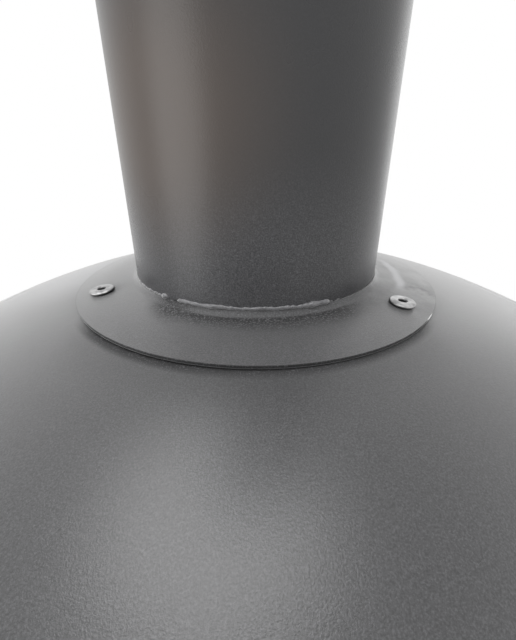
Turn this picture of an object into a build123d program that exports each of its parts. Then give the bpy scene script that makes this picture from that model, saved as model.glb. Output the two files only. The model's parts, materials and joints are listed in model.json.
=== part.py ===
from build123d import *
from math import acos, asin, atan2, cos, degrees, radians, sin, sqrt, tan
import os

# Globe-shaped outdoor fireplace of painted sheet steel, in millimetres.
# +Z is up, the floor is z = 0, the globe's axis is x = y = 0, and the mouth faces -Y.

# Globe
GLOBE_D = 700.0
SHELL_SHEET = 2.0
FLOOR_CLEARANCE = 170.0
RIM_WIDTH = 20.0
RIM_BEND = 4.0
RIM_BOLTS = 8
RIM_BOLT_INSET = 9.0

# Flue and its collar
FLUE_D = 102.0
FLUE_SHEET = 1.5
LOWER_FLUE_LENGTH = 300.0
UPPER_FLUE_LENGTH = 300.0
SPIGOT_LENGTH = 45.0
FLUE_SCREWS = 3
FLUE_SCREW_ANGLE = 90.0
COLLAR_D = 150.0
COLLAR_SHEET = 1.2
COLLAR_BLEND = 1.2
COLLAR_LIP = 0.3
COLLAR_RIVET_INSET = 10.0
COLLAR_RIVETS = 3
COLLAR_RIVET_ANGLE = 83.6
WELD_HEIGHT = 0.8
WELD_PROUD = 0.6

# Rain cap
CAP_D = 210.0
CAP_SHEET = 1.2
CAP_SLOPE = 20.0
CAP_RIM = 9.0
CAP_BEND = 2.2
CAP_TIP = 12.0
CAP_GAP = 62.0
CAP_RIVET_INSET = 14.0
BAND_HEIGHT = 40.0
BAND_SHEET = 1.5
BAND_BEND = 1.25
STRAPS = 3
STRAP_ANGLE = 90.0
STRAP_WIDTH = 16.0
STRAP_SHEET = 2.0
STRAP_BEND = 6.0
STRAP_OVERLAP = 30.0
STRAP_TAB = 24.0
STRAP_CORNER = 3.0

# Mouth
MOUTH_D = 300.0
MOUTH_ELEVATION = 33.0
MOUTH_SHEET = 1.5
MOUTH_FLANGE = 20.0
MOUTH_BLEND = 5.0
MOUTH_LIP = 14.0
MOUTH_RIVETS = 8
MOUTH_RIVET_INSET = 8.0

# Door
FRAME_OVERLAP = 12.0
FRAME_WIDTH = 38.0
FRAME_SHEET = 3.0
SCREEN_SHEET = 1.5
SCREEN_HOLE = 13.5
SCREEN_PITCH = 17.0
CLAMP_WIDTH = 18.0
CLAMP_SHEET = 2.0
DOOR_RIVETS = 8

# Hinges
HINGE_STANDOFF = 28.0
HINGE_SPREAD = 120.0
HINGE_PIN_D = 6.0
HINGE_EYE_LENGTH = 20.0
HINGE_EYE_BEND = 4.0
HINGE_EYE_MOUTH_ANGLE = 50.0
LUG_SHEET = 4.0
LUG_FOOT = 26.0
PIN_HEAD_D = 10.0
PIN_HEAD_HEIGHT = 3.0
PIN_HEAD_ROUND = 1.5
PIN_TAIL = 4.0
PIN_CHAMFER = 0.8

# Latch
LATCH_STANDOFF = 13.0
LATCH_LENGTH = 48.0
LATCH_WIDTH = 9.0
LATCH_SHEET = 3.0
LATCH_EYE_D = 14.0
LATCH_EAR_D = 20.0
LATCH_REST = 90.0
KEEPER_STANDOFF = 40.0
KEEPER_SHEET = 4.0
KEEPER_WIDTH = 26.0
KEEPER_TONGUE = 6.0
KEEPER_CORNER = 3.0
KNOB_D = 20.0
KNOB_NECK_D = 9.0
KNOB_NECK_FOOT = 2.0
KNOB_WAIST_D = 7.0
KNOB_FLAT_D = 8.0
KNOB_HEIGHT = 26.0

# Grate
GRATE_D = 280.0
GRATE_RIM = 9.0
GRATE_HEIGHT = 8.0
GRATE_BAR = 7.0
GRATE_PITCH = 22.0

# Legs
LEGS = 3
LEG_ANGLE = 90.0
LEG_WIDTH = 40.0
LEG_SHEET = 6.0
LEG_TOP_ANGLE = 20.0
LEG_KNEE_ANGLE = 42.0
LEG_KNEE_BEND = 20.0
LEG_SPLAY = 8.0
LEG_ANKLE_BEND = 12.0
FOOT_LENGTH = 45.0
LEG_CORNER = 10.0
LEG_BOLT_ANGLES = (26.0, 36.0)

# Fasteners
RIVET_D = 4.8
RIVET_HEAD_D = 9.5
RIVET_HEAD_HEIGHT = 1.5
RIVET_HEAD_ROUND = 0.9
RIVET_BULB_D = 7.2
RIVET_BULB_LENGTH = 4.0
MANDREL_D = 2.7
MANDREL_DEPTH = 1.1
M6 = {"d": 6.0, "flats": 10.0, "head": 4.0, "nut": 5.0}
M8 = {"d": 8.0, "flats": 13.0, "head": 5.3, "nut": 6.5}
SCREW = {"d": 4.2, "flats": 8.0, "head": 3.2}
SCREW_LENGTH = 9.0
THREAD_OUT = 3.0
HEX_LAND_RATIO = 0.94
HEX_CHAMFER_ANGLE = 30.0

# Clearances
SEAT_GAP = 0.3
HOLE_CLEARANCE = 0.1
BOLT_CLEARANCE = 0.25
PIN_CLEARANCE = 0.05
SPIGOT_CLEARANCE = 0.1
LATCH_CLEARANCE = 0.6
KEEPER_CLEARANCE = 0.8
CLAMP_CLEARANCE = 6.0
CUT_ALLOWANCE = 1.0

# Derived sizes
globe_r = GLOBE_D / 2
inner_r = globe_r - SHELL_SHEET
equator_z = FLOOR_CLEARANCE + globe_r
rim_r = globe_r + RIM_WIDTH
rim_bolt_r = globe_r + RIM_WIDTH - RIM_BOLT_INSET
flue_r = FLUE_D / 2
flue_bore_r = flue_r - FLUE_SHEET
collar_rivet_r = COLLAR_D / 2 - COLLAR_RIVET_INSET
rim_turn = 180.0 / RIM_BOLTS
mouth_r = MOUTH_D / 2
mouth_flange_r = mouth_r + MOUTH_FLANGE
mouth_rivet_r = mouth_flange_r - MOUTH_RIVET_INSET
frame_r = mouth_r + FRAME_OVERLAP
clamp_r = mouth_r - CLAMP_CLEARANCE
rivet_hole_r = RIVET_D / 2 + HOLE_CLEARANCE
hinge_s = mouth_r + HINGE_STANDOFF
eye_r = HINGE_PIN_D / 2 + PIN_CLEARANCE + FRAME_SHEET
latch_s = mouth_r + LATCH_STANDOFF
keeper_s = mouth_r + KEEPER_STANDOFF

# Placing frames
globe = Pos(0, 0, equator_z)
mouth_dir = (0, -cos(radians(MOUTH_ELEVATION)), sin(radians(MOUTH_ELEVATION)))
mouth = globe * Location(Plane((0, 0, 0), x_dir=(1, 0, 0), z_dir=mouth_dir))


def height_on(radius, r):
    """Height above its centre of a sphere's surface at distance r from the axis."""
    return sqrt(radius**2 - r**2)


def spun(face):
    """Revolve a face drawn as (radius, height) about the Z axis."""
    return revolve(Plane.XZ * face, Axis.Z)


def spun_box(r_in, r_out, z_low, z_high):
    """Plain ring of rectangular section."""
    return spun(Pos((r_in + r_out) / 2, (z_low + z_high) / 2) * Rectangle(r_out - r_in, z_high - z_low))


def rod(radius, z_low, z_high):
    return Pos(0, 0, z_low) * Cylinder(radius, z_high - z_low, align=(Align.CENTER, Align.CENTER, Align.MIN))


def plate(sketch, z_low, z_high):
    return Pos(0, 0, z_low) * extrude(sketch, z_high - z_low)


def around(count, turn=0.0):
    """Rotations that spread count copies evenly about Z, the first at angle turn."""
    return [Rot(0, 0, turn + 360.0 * i / count) for i in range(count)]


def on_sphere(radius, azimuth, elevation):
    """Place with +Z along the outward normal of a sphere about the origin."""
    a, e = radians(azimuth), radians(elevation)
    out = Vector(cos(a) * cos(e), sin(a) * cos(e), sin(e))
    return Location(Plane(out * radius, x_dir=(-sin(a), cos(a), 0), z_dir=out))


def flat_bar(line, width, sheet, corner):
    """Flat bar bent along connected lines in the XZ plane, the corners of its two ends rounded."""
    bar = extrude(Plane.XZ * trace(line, sheet), width / 2, both=True)
    tips = [Vector(tip.X, 0, tip.Y) for tip in (line[0] @ 0, line[-1] @ 1)]
    side = Vector(0, width / 2, 0)
    corners = [tip + offset for tip in tips for offset in (side, -side)]
    ends = [edge for edge in bar.edges() if min((edge.center() - c).length for c in corners) < HOLE_CLEARANCE]
    return fillet(ends, corner)


def group(solids):
    return Compound(children=[s.solid() for s in solids])


# Fasteners: the seat of the head is z = 0 and the shank runs down from it
def blind_rivet(grip):
    head = rod(RIVET_HEAD_D / 2, 0, RIVET_HEAD_HEIGHT)
    head = fillet(head.edges().filter_by(GeomType.CIRCLE).sort_by(Axis.Z)[-1], RIVET_HEAD_ROUND)
    shank = rod(RIVET_D / 2, -grip - RIVET_BULB_LENGTH, 0)
    bulb = rod(RIVET_BULB_D / 2, -grip - RIVET_BULB_LENGTH, -grip)
    recess = rod(MANDREL_D / 2, RIVET_HEAD_HEIGHT - MANDREL_DEPTH, RIVET_HEAD_HEIGHT)
    return head + shank + bulb - recess


def chamfering_cone(flats, height):
    """Cone that a hexagon is turned down to, so that its corners slope off at the top."""
    land = flats / 2 * HEX_LAND_RATIO
    foot = land + height / tan(radians(HEX_CHAMFER_ANGLE))
    return spun(make_face(Polyline((0, 0), (foot, 0), (land, height), (0, height), close=True)))


def hexagon(flats, height):
    """Hexagonal head that stands on z = 0, chamfered at the top."""
    prism = plate(RegularPolygon(flats / 2, 6, major_radius=False), 0, height)
    return prism & chamfering_cone(flats, height)


def bolt(kind, grip):
    shank = rod(kind["d"] / 2, -grip - kind["nut"] - THREAD_OUT, 0)
    return hexagon(kind["flats"], kind["head"]) + shank


def nut(kind, grip):
    """Nut under the grip, chamfered on both faces."""
    flats, height = kind["flats"], kind["nut"]
    upside_down = Pos(0, 0, height) * Rot(180, 0, 0)
    body = hexagon(flats, height) & (upside_down * chamfering_cone(flats, height))
    return Pos(0, 0, -grip - height) * (body - rod(kind["d"] / 2 + PIN_CLEARANCE, 0, height))


def copies(places, piece):
    return [globe * place * piece for place in places]


def bolt_hole(kind, grip):
    """Drilled through what the bolt clamps, whose top is the seat of the head."""
    return rod(kind["d"] / 2 + BOLT_CLEARANCE, -grip - CUT_ALLOWANCE, CUT_ALLOWANCE)


# Collars: a ring that lies on the globe and turns up into a lip, like the flue's and the mouth's
def collar(bore_r, outer_r, sheet, blend, lip):
    mid = globe_r + SEAT_GAP + sheet / 2
    turn = blend + sheet / 2
    lip_r = bore_r + sheet / 2
    lip_z = height_on(mid + turn, lip_r + turn)
    start = degrees(acos(outer_r / mid))
    lean = degrees(atan2(lip_z, lip_r + turn))
    skirt = CenterArc((0, 0), mid, start, lean - start)
    bend = CenterArc((lip_r + turn, lip_z), turn, 180 + lean, -lean)
    line = [skirt, bend, Line((lip_r, lip_z), (lip_r, lip_z + lip))]
    return spun(trace(line, sheet)), lip_z + lip


def collar_rivets(count, ring_r, sheet, turn=0.0):
    """Places of a collar's rivets, in the collar's own frame."""
    surface = globe_r + SEAT_GAP + sheet
    elevation = degrees(acos(ring_r / surface))
    return [step * on_sphere(surface, 0, elevation) for step in around(count, turn)]


flue_rivet_places = collar_rivets(COLLAR_RIVETS, collar_rivet_r, COLLAR_SHEET, COLLAR_RIVET_ANGLE)
mouth_rivet_places = collar_rivets(MOUTH_RIVETS, mouth_rivet_r, MOUTH_SHEET, 180.0 / MOUTH_RIVETS)
collar_grip = COLLAR_SHEET + 2 * SEAT_GAP + SHELL_SHEET
mouth_grip = MOUTH_SHEET + 2 * SEAT_GAP + SHELL_SHEET


def rivet_holes(places, grip):
    """Drilled through what the rivets hold, whose top is the seat of their heads."""
    return [place * rod(rivet_hole_r, -grip - CUT_ALLOWANCE, CUT_ALLOWANCE) for place in places]


# Globe shells
def rim_bolt_places():
    return [turn * Pos(rim_bolt_r, 0, SHELL_SHEET) for turn in around(RIM_BOLTS, rim_turn)]


rim_grip = 2 * SHELL_SHEET


def half_shell(top_r):
    """Pressed half globe with its out-turned rim, open to radius top_r at the pole."""
    corner = height_on(globe_r, SHELL_SHEET)
    wall = Plane.XZ * make_face(
        [
            Line((inner_r, 0), (rim_r, 0)),
            Line((rim_r, 0), (rim_r, SHELL_SHEET)),
            Line((rim_r, SHELL_SHEET), (corner, SHELL_SHEET)),
            CenterArc(
                (0, 0),
                globe_r,
                degrees(asin(SHELL_SHEET / globe_r)),
                degrees(acos(top_r / globe_r) - asin(SHELL_SHEET / globe_r)),
            ),
            Line((top_r, height_on(globe_r, top_r)), (top_r, height_on(inner_r, top_r))),
            CenterArc((0, 0), inner_r, degrees(acos(top_r / inner_r)), -degrees(acos(top_r / inner_r))),
        ]
    )
    neck = [v for v in wall.vertices() if abs(v.X - corner) < HOLE_CLEARANCE and v.Z > SHELL_SHEET / 2]
    wall = fillet(neck, RIM_BEND)
    return revolve(wall, Axis.Z) - [place * bolt_hole(M6, rim_grip) for place in rim_bolt_places()]


def upper_dome():
    shell = half_shell(flue_bore_r)
    shell -= rivet_holes(flue_rivet_places, collar_grip)
    tilt = Location(Plane((0, 0, 0), x_dir=(1, 0, 0), z_dir=mouth_dir))
    shell -= tilt * rod(mouth_r, 0, globe_r)
    shell -= [tilt * hole for hole in rivet_holes(mouth_rivet_places, mouth_grip)]
    return globe * shell


def leg_bolt_places():
    """Seats of the leg bolts on a leg's outer face, for every leg."""
    face = globe_r + SEAT_GAP + LEG_SHEET
    return [
        turn * on_sphere(face, 0, -angle) for turn in around(LEGS, LEG_ANGLE) for angle in LEG_BOLT_ANGLES
    ]


leg_grip = LEG_SHEET + 2 * SEAT_GAP + SHELL_SHEET


def lower_bowl():
    bowl = Rot(180, 0, 0) * half_shell(0)
    return globe * (bowl - [place * bolt_hole(M8, leg_grip) for place in leg_bolt_places()])


def rim_bolts():
    return copies(rim_bolt_places(), bolt(M6, rim_grip))


def rim_nuts():
    return copies(rim_bolt_places(), nut(M6, rim_grip))


# Flue
flue_collar_solid, collar_top = collar(
    flue_r - COLLAR_SHEET, COLLAR_D / 2, COLLAR_SHEET, COLLAR_BLEND, COLLAR_LIP
)
flue_base = collar_top + WELD_HEIGHT
shoulder = flue_base + LOWER_FLUE_LENGTH
spigot_r = flue_bore_r - SPIGOT_CLEARANCE
upper_base = shoulder + FLUE_SHEET + SPIGOT_CLEARANCE
flue_top = upper_base + UPPER_FLUE_LENGTH


def flue_collar():
    return globe * (flue_collar_solid - rivet_holes(flue_rivet_places, collar_grip))


def flue_weld():
    """Weld bead round the joint: square in the gap, rounded where it stands proud."""
    middle = collar_top + WELD_HEIGHT / 2
    gap = Pos(flue_r - COLLAR_SHEET / 2, middle) * Rectangle(COLLAR_SHEET, WELD_HEIGHT)
    bead = Pos(flue_r, middle) * Ellipse(WELD_PROUD, WELD_HEIGHT / 2)
    return globe * spun(gap + bead)


def lower_flue():
    """Welded pipe whose top is swaged to a spigot for the next pipe."""
    neck = flue_r - spigot_r
    top = shoulder + neck + SPIGOT_LENGTH
    wall = Polyline(
        (flue_bore_r, flue_base),
        (flue_r, flue_base),
        (flue_r, shoulder),
        (spigot_r, shoulder + neck),
        (spigot_r, top),
        (spigot_r - FLUE_SHEET, top),
        (spigot_r - FLUE_SHEET, shoulder + neck),
        (flue_bore_r, shoulder),
        close=True,
    )
    return globe * (spun(make_face(wall)) - screw_holes())


def screw_places():
    level = upper_base + SPIGOT_LENGTH / 2
    return [turn * Pos(flue_r, 0, level) * Rot(0, 90, 0) for turn in around(FLUE_SCREWS, FLUE_SCREW_ANGLE)]


def screw_holes():
    hole = rod(SCREW["d"] / 2 + HOLE_CLEARANCE, -SCREW_LENGTH, CUT_ALLOWANCE)
    return [place * hole for place in screw_places()]


def upper_flue():
    return globe * (spun_box(flue_bore_r, flue_r, upper_base, flue_top) - screw_holes())


def flue_screws():
    screw = hexagon(SCREW["flats"], SCREW["head"]) + rod(SCREW["d"] / 2, -SCREW_LENGTH, 0)
    return copies(screw_places(), Pos(0, 0, SEAT_GAP) * screw)


# Rain cap
band_r = flue_r + SEAT_GAP
strap_r = band_r + BAND_SHEET + STRAP_SHEET / 2
cap_slope = tan(radians(CAP_SLOPE))
cap_under = flue_top + CAP_GAP + flue_r * cap_slope
cap_rivet_r = strap_r - CAP_RIVET_INSET


def cap_band():
    """Band that slips over the flue, its top turned in to rest on the flue's edge."""
    wall_r = band_r + BAND_SHEET / 2
    lip = flue_top + SEAT_GAP + BAND_SHEET / 2
    line = FilletPolyline(
        (wall_r, flue_top - BAND_HEIGHT), (wall_r, lip), (flue_bore_r, lip), radius=BAND_BEND
    )
    return globe * spun(trace(line, BAND_SHEET))


def cap_rivet_places():
    """Seats of the rivets on top of the cap, square to its slope."""
    drop = CAP_SHEET / cos(radians(CAP_SLOPE))
    seat = Pos(cap_rivet_r, 0, cap_under + drop - cap_rivet_r * cap_slope) * Rot(0, CAP_SLOPE, 0)
    return [turn * seat for turn in around(STRAPS, STRAP_ANGLE)]


strap_bow = (STRAP_WIDTH / 2) ** 2 / (2 * cap_rivet_r)
cap_grip = CAP_SHEET + STRAP_SHEET + 2 * SEAT_GAP + strap_bow


def rain_cap():
    """Shallow cone with a blunt tip and a turned-down rim."""
    slope = radians(CAP_SLOPE)
    peak = cap_under + CAP_SHEET / 2 / cos(slope)
    rim = CAP_D / 2 - CAP_SHEET / 2
    tip = CenterArc((0, peak - CAP_TIP / cos(slope)), CAP_TIP, 90, -CAP_SLOPE)
    skirt = FilletPolyline(
        tip @ 1,
        (rim, peak - rim * cap_slope),
        (rim, cap_under - CAP_D / 2 * cap_slope - CAP_RIM),
        radius=CAP_BEND,
    )
    cone = spun(trace([tip, *skirt.edges()], CAP_SHEET))
    return globe * (cone - rivet_holes(cap_rivet_places(), cap_grip))


def cap_straps():
    """Bent flat bars from the band up to tabs that lie under the cone."""
    under = (STRAP_SHEET / 2 + SEAT_GAP + strap_bow) / cos(radians(CAP_SLOPE))
    bend_z = cap_under - under - strap_r * cap_slope
    tab_r = strap_r - STRAP_TAB
    line = FilletPolyline(
        (strap_r, flue_top - STRAP_OVERLAP),
        (strap_r, bend_z),
        (tab_r, bend_z + STRAP_TAB * cap_slope),
        radius=STRAP_BEND,
    )
    bar = flat_bar(line.edges(), STRAP_WIDTH, STRAP_SHEET, STRAP_CORNER)
    straps = [turn * bar for turn in around(STRAPS, STRAP_ANGLE)]
    holes = rivet_holes(cap_rivet_places(), cap_grip)
    return [globe * (strap - holes) for strap in straps]


def cap_rivets():
    return copies(cap_rivet_places(), blind_rivet(cap_grip))


# Mouth: drawn in its own frame, x to the right, y up along its face, z outwards
mouth_ring_solid, lip_top = collar(mouth_r, mouth_flange_r, MOUTH_SHEET, MOUTH_BLEND, MOUTH_LIP)
frame_back = lip_top + SEAT_GAP
frame_front = frame_back + FRAME_SHEET
frame_middle = frame_back + FRAME_SHEET / 2
hinge_w = frame_middle
latch_back = frame_front + LATCH_CLEARANCE
latch_front = latch_back + LATCH_SHEET
latch_pivot = Pos(latch_s, 0, 0) * Rot(0, 0, LATCH_REST)


def mouth_ring():
    return mouth * (mouth_ring_solid - rivet_holes(mouth_rivet_places, mouth_grip))


def hinge_levels():
    """Middle height of each hinge eye, lower then upper."""
    return [-HINGE_SPREAD / 2, HINGE_SPREAD / 2]


def seated(piece):
    """Trim a piece that stands on the globe so that it follows the globe."""
    return piece - Sphere(globe_r + SEAT_GAP)


def hinge_lugs():
    """Pairs of cheeks that stand on the dome at each side of a hinge eye."""
    base = height_on(globe_r, hinge_s + LUG_FOOT) - LUG_SHEET
    half = eye_r
    cheek = Polygon(
        (-hinge_s - LUG_FOOT / 2, base),
        (-hinge_s + half, base),
        (-hinge_s + half, hinge_w),
        (-hinge_s - half, hinge_w),
        align=None,
    )
    cheek += Pos(-hinge_s, hinge_w) * Circle(half)
    cheek -= Pos(-hinge_s, hinge_w) * Circle(HINGE_PIN_D / 2 + PIN_CLEARANCE)
    reach = HINGE_EYE_LENGTH / 2 + SEAT_GAP
    cheeks = []
    for level in hinge_levels():
        for low in (level - reach - LUG_SHEET, level + reach):
            solid = Pos(0, low + LUG_SHEET, 0) * extrude(Plane.XZ * cheek, LUG_SHEET)
            cheeks.append(mouth * seated(solid))
    return cheeks


def hinge_pins():
    """Headed pins that drop in from above, through both cheeks and the eye."""
    half = HINGE_EYE_LENGTH / 2 + SEAT_GAP + LUG_SHEET
    shank = rod(HINGE_PIN_D / 2, -half - PIN_TAIL, half)
    shank = chamfer(shank.edges().filter_by(GeomType.CIRCLE).sort_by(Axis.Z)[0], PIN_CHAMFER)
    head = rod(PIN_HEAD_D / 2, half, half + PIN_HEAD_HEIGHT)
    head = fillet(head.edges().filter_by(GeomType.CIRCLE).sort_by(Axis.Z)[-1], PIN_HEAD_ROUND)
    pin = shank + head
    along = Rot(-90, 0, 0)
    return [mouth * Pos(-hinge_s, level, hinge_w) * along * pin for level in hinge_levels()]


# Door
def door_rivet_places():
    ring_r = clamp_r - CLAMP_WIDTH / 2
    return [turn * Pos(ring_r, 0, frame_front) for turn in around(DOOR_RIVETS, 180.0 / DOOR_RIVETS)]


door_grip = FRAME_SHEET + SCREEN_SHEET + CLAMP_SHEET


def hinge_eye_line():
    """Centre line of a tab: out from the ring, down beside the pin, then round it."""
    roll = eye_r - FRAME_SHEET / 2
    lean = degrees(acos(HINGE_EYE_BEND / (HINGE_EYE_BEND + roll)))
    reach = sqrt((HINGE_EYE_BEND + roll) ** 2 - HINGE_EYE_BEND**2)
    tab = Line((-frame_r + FRAME_WIDTH / 2, hinge_w), (-hinge_s + reach, hinge_w))
    down = JernArc(tab @ 1, tab % 1, HINGE_EYE_BEND, lean)
    return [tab, down, JernArc(down @ 1, down % 1, roll, HINGE_EYE_MOUTH_ANGLE - 360)]


def door_frame():
    """Flat ring with tabs rolled into hinge eyes on the left and the latch's ear on the right."""
    ring = Circle(frame_r) - Circle(frame_r - FRAME_WIDTH)
    ear = Pos(latch_s, 0) * Circle(LATCH_EAR_D / 2)
    ear += Pos(latch_s - LATCH_EAR_D / 2, 0) * Rectangle(LATCH_EAR_D, LATCH_EAR_D)
    solid = plate(ring + ear, frame_back, frame_front)
    eye = extrude(Plane.XZ * trace(hinge_eye_line(), FRAME_SHEET), HINGE_EYE_LENGTH / 2, both=True)
    for level in hinge_levels():
        solid += Pos(0, level, 0) * eye
    solid -= Pos(latch_s, 0, 0) * rod(M6["d"] / 2 + PIN_CLEARANCE, frame_back, frame_front)
    solid -= rivet_holes(door_rivet_places(), door_grip)
    return mouth * solid


def screen_holes():
    """Square openings of the spark screen, inside its clamped margin."""
    field_r = frame_r - FRAME_WIDTH - (SCREEN_PITCH - SCREEN_HOLE) / 2
    steps = int(field_r // SCREEN_PITCH)
    half = SCREEN_HOLE / 2
    places = []
    for i in range(-steps, steps + 1):
        for j in range(-steps, steps + 1):
            x, y = i * SCREEN_PITCH, j * SCREEN_PITCH
            if sqrt((abs(x) + half) ** 2 + (abs(y) + half) ** 2) < field_r:
                places.append((x, y))
    return places


def door_screen():
    sheet = Circle(clamp_r)
    sheet -= [Pos(x, y) * Rectangle(SCREEN_HOLE, SCREEN_HOLE) for x, y in screen_holes()]
    solid = plate(sheet, frame_back - SCREEN_SHEET, frame_back)
    return mouth * (solid - rivet_holes(door_rivet_places(), door_grip))


def screen_clamp():
    top = frame_back - SCREEN_SHEET
    ring = spun_box(clamp_r - CLAMP_WIDTH, clamp_r, top - CLAMP_SHEET, top)
    return mouth * (ring - rivet_holes(door_rivet_places(), door_grip))


def door_rivets():
    return [mouth * place * blind_rivet(door_grip) for place in door_rivet_places()]


# Latch
def latch_lever():
    """Swinging bar, at rest raised clear of the keeper; turned down, its bar lies in the notch."""
    bar = Pos(LATCH_LENGTH / 2, 0) * SlotOverall(LATCH_LENGTH + LATCH_WIDTH, LATCH_WIDTH)
    shape = Circle(LATCH_EYE_D / 2) + bar - Circle(M6["d"] / 2 + PIN_CLEARANCE)
    return mouth * latch_pivot * plate(shape, latch_back, latch_front)


def latch_knob():
    """Turned knob with a waisted neck and a flat on its ball, standing on the lever's end."""
    ball_r, neck_r, flat_r = KNOB_D / 2, KNOB_NECK_D / 2, KNOB_FLAT_D / 2
    ball_z = KNOB_HEIGHT - height_on(ball_r, flat_r)
    neck_top = ball_z - height_on(ball_r, neck_r)
    low, high = -degrees(acos(neck_r / ball_r)), degrees(acos(flat_r / ball_r))
    waist = (KNOB_WAIST_D / 2, (KNOB_NECK_FOOT + neck_top) / 2)
    profile = [
        Polyline((0, KNOB_HEIGHT), (0, 0), (neck_r, 0), (neck_r, KNOB_NECK_FOOT)),
        ThreePointArc((neck_r, KNOB_NECK_FOOT), waist, (neck_r, neck_top)),
        CenterArc((0, ball_z), ball_r, low, high - low),
        Line((flat_r, KNOB_HEIGHT), (0, KNOB_HEIGHT)),
    ]
    knob = spun(make_face(profile))
    return mouth * latch_pivot * Pos(LATCH_LENGTH, 0, latch_front) * knob


latch_grip = FRAME_SHEET + 2 * LATCH_CLEARANCE + LATCH_SHEET


def latch_bolt():
    seat = Pos(latch_s, 0, frame_back + latch_grip)
    return mouth * (seat * bolt(M6, latch_grip))


def latch_nut():
    seat = Pos(latch_s, 0, frame_back + latch_grip)
    return mouth * (seat * nut(M6, latch_grip))


def latch_keeper():
    """Plate on the dome with a notch, open upwards, that takes the lever's nose."""
    base = height_on(globe_r, keeper_s + KEEPER_WIDTH) - KEEPER_SHEET
    top = latch_front + KEEPER_CLEARANCE + KEEPER_TONGUE
    shape = Pos(0, (base + top) / 2) * Rectangle(KEEPER_WIDTH, top - base)
    floor = -LATCH_WIDTH / 2 - SEAT_GAP
    low, high = latch_back - KEEPER_CLEARANCE, latch_front + KEEPER_CLEARANCE
    width = KEEPER_WIDTH / 2 - floor
    shape -= Pos(floor + width / 2, (low + high) / 2) * Rectangle(width, high - low)
    shape = fillet([v for v in shape.vertices() if v.Y > top - KEEPER_TONGUE / 2], KEEPER_CORNER)
    solid = extrude(Plane.YZ * shape, KEEPER_SHEET)
    return mouth * seated(Pos(keeper_s - KEEPER_SHEET / 2, 0, 0) * solid)


# Grate
def fire_grate():
    """Cast round grate whose rim rests in the bowl."""
    rim = GRATE_D / 2
    low = -height_on(inner_r - SEAT_GAP, rim)
    disc = Circle(rim)
    bars = Sketch() + [
        Pos(0, i * GRATE_PITCH) * Rectangle(GRATE_D, GRATE_BAR)
        for i in range(-int(rim // GRATE_PITCH), int(rim // GRATE_PITCH) + 1)
    ]
    stay = Rectangle(GRATE_BAR, GRATE_D)
    pattern = (disc & bars) + (disc & stay) + (disc - Circle(rim - GRATE_RIM))
    return globe * plate(pattern, low, low + GRATE_HEIGHT)


# Legs
def leg_line():
    """Centre line of a leg: along the globe, over the knee, down the shin, out along the foot."""
    mid = globe_r + SEAT_GAP + LEG_SHEET / 2
    hug = CenterArc((0, 0), mid, -LEG_TOP_ANGLE, LEG_TOP_ANGLE - LEG_KNEE_ANGLE)
    knee = JernArc(hug @ 1, hug % 1, LEG_KNEE_BEND, LEG_KNEE_ANGLE + LEG_SPLAY)
    ankle_turn = 90 - LEG_SPLAY
    ankle_z = -equator_z + LEG_SHEET / 2 + LEG_ANKLE_BEND * (1 - cos(radians(ankle_turn)))
    shin_length = ((knee @ 1).Y - ankle_z) / cos(radians(LEG_SPLAY))
    shin = Line(knee @ 1, knee @ 1 + (knee % 1) * shin_length)
    ankle = JernArc(shin @ 1, shin % 1, LEG_ANKLE_BEND, ankle_turn)
    foot = Line(ankle @ 1, ankle @ 1 + (ankle % 1) * FOOT_LENGTH)
    return [hug, knee, shin, ankle, foot]


def legs():
    bar = flat_bar(leg_line(), LEG_WIDTH, LEG_SHEET, LEG_CORNER)
    holes = [place * bolt_hole(M8, leg_grip) for place in leg_bolt_places()]
    return [globe * (turn * bar - holes) for turn in around(LEGS, LEG_ANGLE)]


def leg_bolts():
    return copies(leg_bolt_places(), bolt(M8, leg_grip))


def leg_nuts():
    return copies(leg_bolt_places(), nut(M8, leg_grip))


def build():
    leg_back, leg_left, leg_right = legs()
    strap_back, strap_left, strap_right = cap_straps()
    return {
        "upper_dome": upper_dome(),
        "lower_bowl": lower_bowl(),
        "rim_bolts": group(rim_bolts()),
        "rim_nuts": group(rim_nuts()),
        "flue_collar": flue_collar(),
        "collar_rivets": group(copies(flue_rivet_places, blind_rivet(collar_grip))),
        "flue_weld": flue_weld(),
        "lower_flue": lower_flue(),
        "upper_flue": upper_flue(),
        "flue_screws": group(flue_screws()),
        "cap_band": cap_band(),
        "cap_strap_back": strap_back,
        "cap_strap_left": strap_left,
        "cap_strap_right": strap_right,
        "rain_cap": rain_cap(),
        "cap_rivets": group(cap_rivets()),
        "mouth_ring": mouth_ring(),
        "mouth_rivets": group([mouth * place * blind_rivet(mouth_grip) for place in mouth_rivet_places]),
        "hinge_lugs": group(hinge_lugs()),
        "hinge_pins": group(hinge_pins()),
        "door_frame": door_frame(),
        "door_screen": door_screen(),
        "screen_clamp": screen_clamp(),
        "door_rivets": group(door_rivets()),
        "latch_lever": latch_lever(),
        "latch_knob": latch_knob(),
        "latch_bolt": latch_bolt(),
        "latch_nut": latch_nut(),
        "latch_keeper": latch_keeper(),
        "fire_grate": fire_grate(),
        "leg_back": leg_back,
        "leg_left": leg_left,
        "leg_right": leg_right,
        "leg_bolts": group(leg_bolts()),
        "leg_nuts": group(leg_nuts()),
    }


os.makedirs("parts", exist_ok=True)
for name, piece in build().items():
    export_step(piece, f"parts/{name}.step")
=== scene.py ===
import json
from bisect import bisect
from math import acos, asin, atan2, ceil, cos, degrees, pi, radians, sin, sqrt, tan

import bmesh
import bpy
from bpy.props import FloatProperty, FloatVectorProperty, PointerProperty
from mathutils import Euler, Matrix, Vector, noise
from mathutils.geometry import tessellate_polygon

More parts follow.
